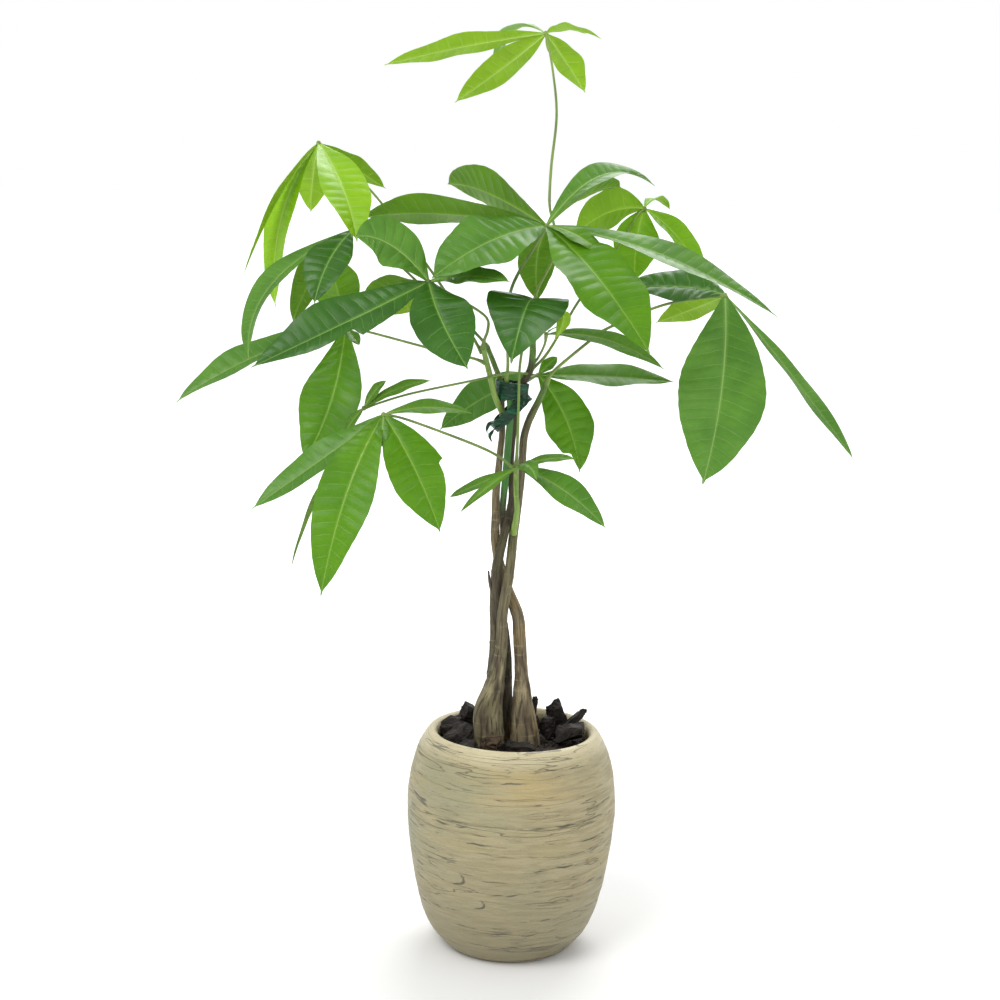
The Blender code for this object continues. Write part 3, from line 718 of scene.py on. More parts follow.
LEAF_PLANS: dict[str, LeafPlan] = {
    "leaf_crown": LeafPlan(
        (10, 0, 717),
        [(-3.5, -17, 390, 1.5), (-3, -16.5, 415, 1.3), (-3, -16, 440, 1.2), (-3, -13, 464, 1.2),
         (-1, -10, 482, 1.2), (3, -10, 503, 1.2), (9, -10, 526, 1.2), (18, -12, 545, 1.2),
         (22.5, -11, 560, 1.2), (20, -7, 576, 1.2), (16.5, -1, 590, 1.2), (17, 5, 618, 1.2),
         (20, 8, 657, 1.1), (16, 4, 690, 1)],
        [Blade((-61, -15, -12), (-119, -35, -28), 25, (0, 0.6, 0.8), Y),
         # This curled leaflet takes the pale tone, its painted sheen.
         Blade((-25, 25, 3), (-39, 45, -27), 15, (-0.3, 0.3, 0.9), P, 0.3),
         Blade((-31, 10, -25), (-68, 20, -52), 29, (-0.3, 0.7, 0.6), Y),
         Blade((19, -20, 2), (40, -35, -5), 20, (0, 0.3, 0.95), Y),
         Blade((15, 15, -18), (32, 25, -42), 26, (0.4, 0.65, 0.6), Y)]),
    "leaf_upper_left": LeafPlan(
        (-164, 45, 632),
        [(-27.5, 2, 479, 1.4), (-31, 3, 484, 1.3), (-46, 8, 500, 1.3), (-74, 24, 537, 1.2),
         (-110, 34, 583, 1.1), (-138, 40, 612, 1)],
        [Blade((-27, -25, -41), (-53, -40, -101), 22, (-0.9, 0, 0.4), Y, 0.2),
         Blade((-27, -15, -58), (-30, -25, -127), 30, (-0.6, -0.6, 0.5), Y),
         Blade((-7, 30, -26), (-10, 45, -55), 26, (0, 0.9, 0.4), Y),
         Blade((24, -60, -32), (38, -90, -72), 37, (0.35, -0.85, 0.4), Y, 0.3, 0.07),
         Blade((25, 15, -17), (51, 30, -34), 20, (0, 0.7, 0.7), G)]),
    "leaf_left": LeafPlan(
        (-133, 0, 567),
        [(-32, -11.5, 477, 1.3), (-36, -8.5, 483, 1.3), (-42, -4, 491, 1.3), (-65, 0, 512, 1.2),
         (-100, 0, 544, 1.1)],
        [Blade((-28, 5, -32), (-46, 6, -73), 28, (-0.35, 0.75, 0.45), F),
         Blade((-15, -30, -22), (-24, -50, -53), 34, (-0.2, -0.8, 0.6), D),
         Blade((-58, -32, -41), (-73, -47, -95), 28, (-0.65, -0.55, 0.6), M, 0.25)]),
    "leaf_front_left": LeafPlan(
        (-72, -60, 533),
        [(-31.3, -12.3, 480, 1.4), (-30.5, -15, 487, 1.3), (-28, -19, 495, 1.3), (-29, -27, 505, 1.2),
         (-43, -42, 516, 1.2)],
        [Blade((-63, -20, -32), (-126, -35, -63), 43, (-0.3, -0.8, 0.5), D, 0.2, 0.08,
               torn=(0.44, 0.42, -1)),
         Blade((11, -25, -26), (31, -35, -60), 47, (0.2, -0.9, 0.4), D),
         Blade((-28, 0, 26), (-54, -10, 32), 42, (0.4, -0.8, 0.6), M, 0.16, 0.06, 1.4),
         Blade((-26, 25, -9), (-53, 35, -19), 33, (-0.2, 0.75, 0.6), F),
         Blade((30, -10, 5), (60, -25, 3), 26, (0, -0.45, 0.9), M),
         Blade((-13, 12, -13), (-32, 18, -27), 20, (0.1, 0.8, 0.5), Y)]),
    "leaf_left_low": LeafPlan(
        (-139, 15, 492),
        [(-28.5, -12, 469, 1.3), (-38, -8, 472, 1.3), (-52, -2, 474, 1.2), (-68, 2, 477, 1.2),
         (-118, 12, 488, 1.1)],
        [Blade((-9, 20, 30), (-21, 30, 52), 36, (0, 0.9, -0.3), F),
         Blade((-8, -20, -54), (-28, -35, -102), 46, (-0.2, -0.9, 0.35), F),
         Blade((-69, -15, -24), (-127, -30, -59), 32, (-0.2, -0.45, 0.85), M, 0.3),
         Blade((7, -15, -6), (13, -23, -12), 10, (0, -0.5, 0.8), M)]),
    "leaf_centre": LeafPlan(
        (14, -30, 575),
        [(-12.8, -6.5, 455, 1.3), (-12, -10, 468, 1.4), (-13, -15, 495, 1.4), (-12, -20, 522, 1.4),
         (-5, -25, 541, 1.4), (5, -28, 558, 1.3)],
        [Blade((-41, -30, -11), (-83, -55, -38), 54, (-0.1, -0.65, 0.75), M, 0.1, 0.05, 1.6),
         Blade((37, -60, -34), (74, -95, -85), 56, (0.3, -0.75, 0.6), F, 0.14, 0.07, 1.3),
         Blade((85, -30, -18), (170, -45, -60), 34, (0.1, -0.35, 0.95), M, 0.2),
         Blade((42, 40, 38), (85, 70, 31), 24, (0, -0.45, 0.9), M, 0.3),
         Blade((31, 45, 23), (59, 75, 29), 37, (0, 0.6, 0.8), F),
         Blade((-46, 50, 23), (-77, 85, 28), 42, (-0.1, 0.85, 0.5), F),
         Blade((-80, 10, 7), (-140, 20, 2), 42, (-0.1, 0.55, 0.85), F),
         Blade((-6, 32, -27), (-4, 36, -59), 28, (0, 0.95, 0.3), F),
         Blade((23, -25, -6), (44, -35, -22), 18, (0.2, -0.6, 0.8), F)]),
    "leaf_folded": LeafPlan(
        (11, -25, 508),
        [(7, 2.8, 484.5, 1.5), (8.5, -5, 493, 1.4), (9.5, -16, 502, 1.3)],
        [Blade((-9, -37, 12), (-21, -55, -32), 60, (0, -0.35, 0.95), D, 0.08, 0.03),
         Blade((18, 10, 0), (11, 10, -21), 12, (0.3, 0.3, 0.9), Y)]),
    "leaf_back_right": LeafPlan(
        (95, 90, 587),
        [(5.5, 6, 463, 1.3), (12, 11, 468, 1.3), (19, 16, 476, 1.3), (30, 26, 494, 1.2),
         (44, 40, 517, 1.2), (67, 62, 546, 1.1), (88, 84, 580, 1)],
        [Blade((-30, -20, -3), (-57, -35, -22), 40, (-0.2, 0.85, 0.5), G),
         Blade((10, 15, 8), (23, 25, -1), 14, (0, 0.2, 1), G),
         Blade((-6, -10, -26), (-7, -20, -58), 36, (0, -0.9, 0.4), G),
         Blade((26, -10, -21), (49, -20, -53), 27, (0.5, -0.6, 0.6), G, 0.3)]),
    "leaf_right": LeafPlan(
        (153, 0, 525),
        [(17.5, 3.1, 452, 1.8), (24, 4, 463, 1.5), (50, 6, 486, 1.3), (63, 7, 496, 1.3),
         (107, 5, 516, 1.2)],
        [Blade((-2, -25, -69), (-15, -40, -141), 66, (0.1, -0.95, 0.3), M, 0.08, 0.04, 1.2),
         Blade((50, -10, -56), (104, -20, -124), 22, (0.6, -0.5, 0.6), M, 0.2, 0.05, 1.0, 0.8),
         Blade((-31, 10, 5), (-80, 15, 3), 36, (0, -0.6, 0.8), D, 0.1, 0.05, 1.6),
         Blade((-20, 25, -12), (-49, 45, -26), 26, (-0.1, 0.8, 0.5), Y)]),
    "leaf_low_left": LeafPlan(
        (-103, -70, 435),
        [(-3.8, -17, 388, 1.3), (-8, -20, 391.5, 1.3), (-19, -30, 401, 1.2), (-39, -45, 412, 1.2),
         (-85, -66, 431, 1.1)],
        [Blade((-46, -10, -34), (-95, -20, -70), 28, (-0.3, -0.6, 0.7), M, 0.2),
         Blade((-24, -30, -54), (-41, -45, -129), 42, (-0.2, -0.9, 0.35), F, 0.16),
         Blade((25, -20, -37), (45, -35, -81), 44, (0.3, -0.85, 0.4), F, 0.1, 0.06,
               torn=(0.5, 0.2, -1)),
         Blade((-42, 10, -53), (-69, 10, -121), 17, (-0.85, 0.2, 0.45), O, 0.2),
         Blade((0, -10, -11), (0, -14, -22), 9, (0, -0.6, 0.7), M),
         Blade((34, 10, 5), (65, 20, 0), 17, (0, -0.5, 0.85), O)]),
    "leaf_small_left": LeafPlan(
        (-120, -35, 435),
        [(4, 5, 460, 1), (0, -2, 461, 1), (-5, -9.5, 462, 1), (-18, -18, 461, 1), (-41, -22, 456, 1),
         (-87, -32, 446, 1)],
        [Blade((8, -3, 13), (17, -5, 22), 10, (0, -0.6, 0.8), O),
         Blade((25, -10, 16), (51, -15, 24), 12, (0, -0.6, 0.8), O),
         Blade((-8, -3, -9), (-14, -5, -20), 11, (-0.4, -0.6, 0.7), O)]),
    "leaf_mid_right": LeafPlan(
        (12, 25, 457),
        [(2.5, 4.5, 457, 1.4), (6, 12, 456, 1.4), (9.5, 19, 457, 1.3)],
        [Blade((53, 5, 0), (108, 5, -3), 31, (0, -0.45, 0.9), O),
         Blade((23, 0, -34), (35, -5, -76), 40, (0.3, -0.85, 0.4), F, torn=(0.8, 0.55, 1)),
         Blade((-41, 15, -20), (-77, 20, -48), 34, (-0.2, -0.7, 0.6), M),
         Blade((8, 5, 8), (15, 9, 14), 11, (0, -0.6, 0.8), F)]),
    "leaf_thin_right": LeafPlan(
        (17, 4, 491),
        [(6.2, 5.5, 467, 1), (11, 6, 472, 1), (16, 5, 483, 1)],
        [Blade((46, -12, -2), (91, -20, -23), 20, (0, -0.5, 0.85), O),
         Blade((5, -6, 5), (9, -10, 6), 6, (0, -0.3, 0.9), F)]),
    "leaf_low_right": LeafPlan(
        (-2, -30, 392),
        [(-3.5, -17, 386, 1.2), (-3, -22, 388.5, 1.2), (-2.5, -26, 391, 1.2)],
        [Blade((23, 0, 7), (43, -5, 8), 12, (0, -0.4, 0.9), O),
         Blade((35, -5, -16), (68, -15, -43), 27, (0.2, -0.6, 0.75), M),
         Blade((7, -15, 4), (14, -22, -6), 14, (0.1, -0.7, 0.7), M),
         Blade((-30, -5, -13), (-52, -10, -23), 11, (-0.1, -0.5, 0.8), O),
         Blade((-21, -15, -12), (-44, -22, -33), 9, (-0.1, -0.5, 0.8), O)]),
}


# ------------------------------------------------------------ compound leaves
def half_width(along: np.ndarray, blunt: float) -> np.ndarray:
    """Half width of a leaflet along its length, as a share of the widest.

    Args:
        along: places along the leaflet from 0 to 1.
        blunt: 0 for a drawn-out tip, 1 for a round one.

    Returns:
        The share at each place: narrow at the foot, widest past the middle.
    """
    body = np.clip(along / 0.97, 0.0, 1.0)
    pointed = np.sin(np.pi * body ** 1.15) ** 0.92
    rounded = np.sin(np.pi * body ** 1.5) ** 0.62 * (0.35 + 0.65 * np.clip(body * 1.5, 0, 1))
    drip = 0.07 * np.clip((along - 0.78) / 0.14, 0, 1) * np.clip(1 - along, 0, 1) ** 0.5 * 3
    foot = 0.045 * (1 - along)
    return (1 - blunt) * pointed + blunt * rounded + drip * (1 - blunt) + foot + 0.006


@dataclass
class CompoundLeaf:
    """A stalk with leaflets spread like the fingers of a hand."""

    node: str
    plan: LeafPlan
    rows: int = 76
    columns: int = 18
    vein_spacing: float = 10.0
    skin: float = 0.42
    draws: random.Random = field(default_factory=random.Random)

    def __post_init__(self) -> None:
        """Seed this leaf's small irregularities from its name."""
        self.draws = random.Random(self.node)

    def build(self, dress: "LeafWardrobe") -> bpy.types.Object:
        """Model the whole leaf as one piece.

        Args:
            dress: keeps the leaf materials.

        Returns:
            The finished piece, not yet tied to its node.
        """
        loft = Loft()
        hub = Vector(self.plan.hub)
        route = [*self.plan.stalk, (*self.plan.hub, self.plan.stalk[-1][3])]
        path = smooth_path(route, 3.0)
        length = sum((b[0] - a[0]).length for a, b in zip(path, path[1:]))

        def swell(run: float, turn: float, place: Vector, radius: float) -> float:
            """A cushion of thicker stalk at both ends and a faint unevenness between."""
            ends = math.exp(-(run / 5.0) ** 2) * 0.7 + math.exp(-((length - run) / 4.5) ** 2) * 0.75
            return radius * (0.86 + ends + 0.07 * noise.noise(place * 0.2))

        loft.tube(path, 14, swell)
        knuckle = [(hub + Vector((0, 0, z)), r) for z, r in
                   ((-1.9, 0.5), (-1.2, 1.5), (0, 1.9), (1.2, 1.5), (1.9, 0.5))]
        loft.tube(knuckle, 14)
        stalk = loft.finish(f"fine_{self.node}", [dress.stalk])
        tones = sorted({blade.tone for blade in self.plan.blades}, key=lambda tone: tone.value)
        for tone in tones:
            stalk.data.materials.append(dress.skin(tone, False))
            stalk.data.materials.append(dress.skin(tone, True))
        parts = [self.blade(spec, 1 + 2 * tones.index(spec.tone)) for spec in self.plan.blades]
        for part in parts:
            for material in stalk.data.materials:
                part.data.materials.append(material)
        make_active(stalk)
        for part in parts:
            part.select_set(True)
        bpy.ops.object.join()
        smooth(stalk, 50)
        return stalk

    def blade(self, spec: Blade, slot: int) -> bpy.types.Object:
        """Model one leaflet: a thin closed skin with a rib and quilted panels.

        Args:
            spec: the leaflet.
            slot: material slot of its upper side; the lower side has the next.

        Returns:
            The leaflet as an object of its own.
        """
        rows, columns = self.rows, self.columns
        t = np.linspace(0.0, 1.0, rows + 1)
        s = np.linspace(-1.0, 1.0, columns + 1)
        s = np.sign(s) * np.abs(s) ** 1.15
        hub, mid, end = (np.array(v, float) for v in (self.plan.hub, spec.middle, spec.tip))
        top = np.array(spec.face, float)
        pull = 2 * mid - 0.5 * end
        spine = hub + pull * (2 * t * (1 - t))[:, None] + end * (t ** 2)[:, None]
        ahead = pull * (2 * (1 - t))[:, None] + (end - pull) * (2 * t)[:, None]
        ahead /= np.linalg.norm(ahead, axis=1)[:, None]
        across = np.cross(ahead, top)
        across /= np.linalg.norm(across, axis=1)[:, None]
        up = np.cross(across, ahead)
        length = float(np.linalg.norm(np.diff(spine, axis=0), axis=1).sum())
        share = half_width(t, spec.blunt)
        half = spec.width * 0.5 * share
        pairs = max(4, round(length / self.vein_spacing))
        size = min(1.0, spec.width / 36)
        swing = self.draws.uniform(0, math.tau)
        beat = self.draws.uniform(1.5, 2.6)
        grid_t, grid_s = np.meshgrid(t, s, indexing="ij")
        side = np.abs(grid_s)
        lean = 0.95 * spec.width / length * side ** 1.2
        stagger = np.where(grid_s > 0, self.draws.uniform(0.2, 0.6), 0.0)
        wander = 0.25 * np.sin(grid_t * self.draws.uniform(9, 14) + swing) * np.where(grid_s > 0, 1, -0.8)
        phase = pairs * (grid_t - 0.14 * lean) * (1 + 0.12 * grid_t) + stagger + wander
        cell = np.abs((phase % 1.0) - 0.5) * 2
        cushion = 1 - cell ** 2.2
        across_profile = np.clip(side * 3.2, 0, 1) * np.clip((1.06 - side) * 2.6, 0, 1)
        live = np.clip(grid_t * 7, 0, 1) * np.clip((1 - grid_t) * 7, 0, 1)
        quilt = 0.85 * spec.quilt * size * cushion * across_profile * live
        lift = half[:, None] * spec.fold * side ** 1.25
        wave_left = np.sin(math.tau * beat * grid_t + swing)
        wave_right = np.sin(math.tau * (beat * 1.13) * grid_t + swing * 1.7 + 1.1)
        ripple = np.where(grid_s > 0, wave_right, wave_left) * side ** 2.2
        lift = lift + half[:, None] * spec.ripple * 1.6 * ripple
        groove = -0.45 * size * np.exp(-(grid_s * half[:, None] / 1.1) ** 2)
        notch = 1 + 0.006 * np.sin(math.tau * pairs * grid_t + swing) * side ** 4
        start, gone, edge = spec.torn
        notch = notch * (1 - gone * np.clip((grid_t - start) * 50, 0, 1) * (grid_s * edge > 0))
        flat = spine[:, None] + across[:, None] * (grid_s * notch * half[:, None])[..., None]
        sheet = flat + up[:, None] * lift[..., None]
        skin = self.skin * (0.35 + 0.65 * np.clip((1 - side) * 4, 0, 1))
        rib = 0.75 * size * np.exp(-(grid_s * half[:, None] / 0.9) ** 2) * (1 - 0.75 * grid_t)
        upper = sheet + up[:, None] * (quilt + groove + skin / 2)[..., None]
        lower = sheet + up[:, None] * (quilt + groove * 0.2 - skin / 2 - rib)[..., None]
        return self.close(slot, upper, lower, (grid_s * half[:, None], grid_t, phase, side))

    def close(self, slot: int, upper: np.ndarray, lower: np.ndarray,
              marks: tuple[np.ndarray, np.ndarray, np.ndarray, np.ndarray]) -> bpy.types.Object:
        """Join the two sides of a leaflet into one closed skin and lay its maps.

        Args:
            slot: material slot of the upper side.
            upper: points of the upper side, in millimetres.
            lower: points of the lower side.
            marks: distance from the rib, place along, vein count and share across.

        Returns:
            The leaflet as an object.
        """
        rows, columns = upper.shape[0] - 1, upper.shape[1] - 1
        wide = columns + 1
        count = (rows + 1) * wide
        points = np.concatenate([upper.reshape(-1, 3), lower.reshape(-1, 3)]) * MM
        faces = []
        slots = []
        for i in range(rows):
            for j in range(columns):
                a, b = i * wide + j, i * wide + j + 1
                c, d = b + wide, a + wide
                faces += [(a, b, c, d), (count + d, count + c, count + b, count + a)]
                slots += [slot, slot + 1]
        rim = [i * wide for i in range(rows + 1)]
        rim += [rows * wide + j for j in range(1, wide)]
        rim += [i * wide + columns for i in range(rows - 1, -1, -1)]
        rim += [j for j in range(columns - 1, 0, -1)]
        for a, b in zip(rim, rim[1:] + rim[:1]):
            faces.append((a, b, count + b, count + a))
            slots.append(slot)
        mesh = bpy.data.meshes.new("blade")
        mesh.from_pydata(points.tolist(), [], faces)
        mesh.polygons.foreach_set("material_index", slots)
        mesh.polygons.foreach_set("use_smooth", [True] * len(faces))
        corner = np.empty(len(mesh.loops), np.int32)
        mesh.loops.foreach_get("vertex_index", corner)
        corner %= count
        away, along, phase, side = (m.reshape(-1)[corner] for m in marks)
        for name, first, second in ((BLADE_MAP, away / BLADE_MAP_MM + 0.5, along),
                                    (VEIN_MAP, phase, side)):
            layer = mesh.uv_layers.new(name=name)
            layer.data.foreach_set("uv", np.stack([first, second], axis=1).ravel())
        item = new_object("blade", mesh)
        work = bmesh.new()
        work.from_mesh(mesh)
        bmesh.ops.recalc_face_normals(work, faces=work.faces)
        work.to_mesh(mesh)
        work.free()
        return item


@dataclass
class LeafWardrobe:
    """Makes each leaf material once and hands it out."""

    stalk: bpy.types.Material = field(default_factory=lambda: StalkFinish().make("leaf_stalk"))
    skins: dict[tuple[Tone, bool], bpy.types.Material] = field(default_factory=dict)

    def skin(self, tone: Tone, underside: bool) -> bpy.types.Material:
        """The material of one side of a leaflet.

        Args:
            tone: its green.
            underside: True for the lower side.

        Returns:
            The material, made on first use.
        """
        key = (tone, underside)
        if key not in self.skins:
            name = f"leaf_{tone.value}_{'under' if underside else 'top'}"
            self.skins[key] = LEAF_FINISHES[tone].make(name, underside)
        return self.skins[key]


# -------------------------------------------------------- stems of the braid
STEM_PLANS: dict[str, Sequence[RadiusPoint]] = {
    "stem_front_left": [
        (-19, -4, 148, 12.5), (-19.5, -4, 170, 12.4), (-20, -4, 194, 11.2), (-16, -5, 213, 8),
        (-13, -5, 230, 5.6), (-11, -6, 253, 4.7), (-11, -6, 270, 4.2), (-8, -8, 294, 4),
        (-6, -7, 310, 3.8), (-4, -2, 335, 3.6), (-1, 5, 361, 3.3), (1, 8, 384, 3), (2, 9, 408, 3),
        (5, 8, 421, 2.9), (9, 6, 431, 2.8), (14, 4, 442, 2.6), (18, 3, 453, 2.2)],
    "stem_front_right": [
        (10, -2, 148, 12), (10, -2, 165, 11.8), (7, -2, 196, 8.6), (5, -3, 225, 5.4), (3, -3, 252, 5),
        (1, 0, 269, 4.9), (-7, 5, 288, 4.4), (-14, 5, 308, 4), (-18, 0, 329, 3.6),
        (-18.5, -1.5, 350, 3.2), (-18.5, -2, 369, 3), (-17, -2, 386, 2.7), (-16, -2, 401, 2.5),
        (-15, -1, 416, 2.3), (-16, 0, 440, 2.2), (-17, 1, 453, 2.1), (-22, 2, 466, 2),
        (-28, 2, 480, 1.8)],
    "stem_back": [
        (-5, 16, 148, 7), (-5, 15.5, 170, 6.6), (-7, 13, 196, 5.8), (-7, 9, 225, 4.8),
        (-9, 6, 250, 4.4), (-14, 2, 277, 4), (-16, -2, 292, 3.8), (-15, -6, 315, 3.6),
        (-12, -7, 331, 3.4), (-8, -5, 350, 3), (-6, -0.5, 363, 2.8), (-6.5, 2.5, 376, 2.8),
        (-8, 4, 390, 2.8), (-6, 6, 422, 2.8), (-3, 3.5, 446, 2.8), (-1, 3.5, 452, 2.8),
        (3, 4.5, 458, 2.8), (6, 6, 465, 2.7), (7, 4, 475, 2.5), (7, 3, 486, 2.2)],
    "stem_green": [
        (-25, 17, 148, 6), (-24, 16, 170, 5.6), (-19, 15.5, 198, 5), (-17, 13.5, 228, 4.5),
        (-16.5, 12.5, 250, 4), (-18, 11, 279, 3.6), (-17, 13, 308, 3), (-12, 7.5, 329, 2.8),
        (-13, 3, 350, 2.6), (-12.5, 1, 363, 2.6), (-11, -5, 386, 2.7), (-10, -8, 410, 2.7),
        (-9, -8, 429, 2.6), (-10.5, -7.6, 446, 2.3), (-13, -6.4, 456, 1.6)],
    "shoot_side": [
        (-4, -4, 336, 2.9), (-3.5, -9.5, 342, 2.6), (-2.5, -14, 350, 2.2), (-2, -16, 358, 2),
        (-3, -17, 370, 1.9), (-3.5, -17, 386, 2), (-3.5, -17, 391, 2.2)],
    "shoot_left": [
        (-16, -1.5, 431, 2.2), (-19, -6, 438, 2.3), (-22, -9.5, 446, 2.3), (-25.5, -12, 460, 2.2),
        (-30, -12, 476, 2), (-31.5, -12, 483, 2.1)],
}
DEAD_STUB: Sequence[RadiusPoint] = [(-18.5, 9, 281, 1.6), (-21.5, 8, 293, 1.3), (-23, 7, 303, 0.7)]

GREY_BARK = BarkFinish((0.37, 0.33, 0.19), (0.175, 0.150, 0.082), (0.075, 0.056, 0.033),
                       (0.125, 0.135, 0.045), 0.5, 0.8, 0.0009, 0.425)
WARM_BARK = BarkFinish((0.41, 0.35, 0.20), (0.200, 0.160, 0.090), (0.085, 0.062, 0.036),
                       (0.30, 0.22, 0.09), 0.4, 0.8, 0.0009, 0.440)
# Painted shade: the back stem's bark is the grey bark darkened to under half, for the stem that stands in
# shadow behind the front two.
PAINTED_SHADE_BARK = BarkFinish((0.16, 0.13, 0.075), (0.075, 0.058, 0.034), (0.030, 0.023, 0.014),
                       (0.10, 0.10, 0.040), 0.4, 0.8, 0.0008, 0.450)
GREEN_BARK = BarkFinish((0.28, 0.24, 0.14), (0.14, 0.11, 0.065), (0.060, 0.045, 0.028),
                        (0.10, 0.11, 0.045), 0.4, 0.6, 0.0004, 0.345, (0.045, 0.185, 0.030))
SHOOT_BARK = BarkFinish((0.36, 0.50, 0.08), (0.20, 0.33, 0.045), (0.10, 0.18, 0.03),
                        (0.28, 0.36, 0.09), 0.35, 0.42, 0.00025)
STEM_FINISHES: dict[str, BarkFinish] = {
    "stem_front_left": GREY_BARK, "stem_front_right": WARM_BARK, "stem_back": PAINTED_SHADE_BARK,
    "stem_green": GREEN_BARK, "shoot_side": SHOOT_BARK, "shoot_left": SHOOT_BARK,
}


@dataclass
class Stem:
    """One woody stem: fissures, leaf scars and a flared foot."""

    node: str
    plan: Sequence[RadiusPoint]
    finish: BarkFinish
    spacing: float = 1.1
    sides: int = 40
    scar_gap: float = 23.0

    def build(self) -> bpy.types.Object:
        """Model the stem from its centre line; returns the finished piece."""
        draws = random.Random(self.node)
        path = smooth_path(self.plan, self.spacing)
        length = sum((b[0] - a[0]).length for a, b in zip(path, path[1:]))
        young = self.node.startswith("shoot")
        scars = []
        at = draws.uniform(12, 26)
        while at < length - 4:
            scars.append((at, draws.uniform(0, math.tau), draws.uniform(0.5, 1.0)))
            at += self.scar_gap * draws.uniform(0.6, 1.3) * (0.5 if young else 1.0)
        offset = Vector((draws.uniform(0, 50), draws.uniform(0, 50), 0))

        def swell(run: float, turn: float, place: Vector, radius: float) -> float:
            """Bark ridges that grow with the stem's girth, plus scar rings."""
            out = Vector((math.cos(turn), math.sin(turn), 0))
            ridge = noise.noise(out * 2.6 + offset + Vector((0, 0, run * 0.035)))
            crack = 1 - abs(noise.noise(out * 4.2 + offset * 2 + Vector((0, 0, run * 0.05)))) * 2
            lump = noise.noise(place * 0.11 + offset)
            foot = radius * (0.075 * ridge - 0.055 * max(0.0, crack - 0.55) + 0.05 * lump)
            ring = 0.0
            for spot, facing, size in scars:
                near = math.exp(-((run - spot) / 1.3) ** 2)
                if near > 0.01:
                    front = 0.35 + 0.65 * max(0.0, math.cos(turn - facing))
                    ring += 0.11 * size * near * front * min(radius, 4.5)
            return radius + foot + ring

        loft = Loft()
        loft.tube(path, self.sides, swell)
        if self.node == "stem_green":
            loft.tube(smooth_path(DEAD_STUB, 1.0), 12, lambda run, turn, place, radius:
                      radius * (1 + 0.16 * noise.noise(place * 0.9)))
        stem = loft.finish(f"fine_{self.node}", [self.finish.make(f"bark_{self.node}")])
        smooth(stem, 55)
        return stem


# ---------------------------------------------------------------------- pot
@dataclass(frozen=True)
class Knot:
    """A knot in the pot's wood grain: degrees round from the front, height, size and depth."""

    turn: float
    height: float
    size: float
    depth: float = 0.8


@dataclass(frozen=True)
class Crack:
    """A crack along the pot's grain: degrees round from the front, height and size."""

    turn: float
    height: float
    length: float
    width: float = 0.8
    depth: float = 1.0
    slope: float = 0.0


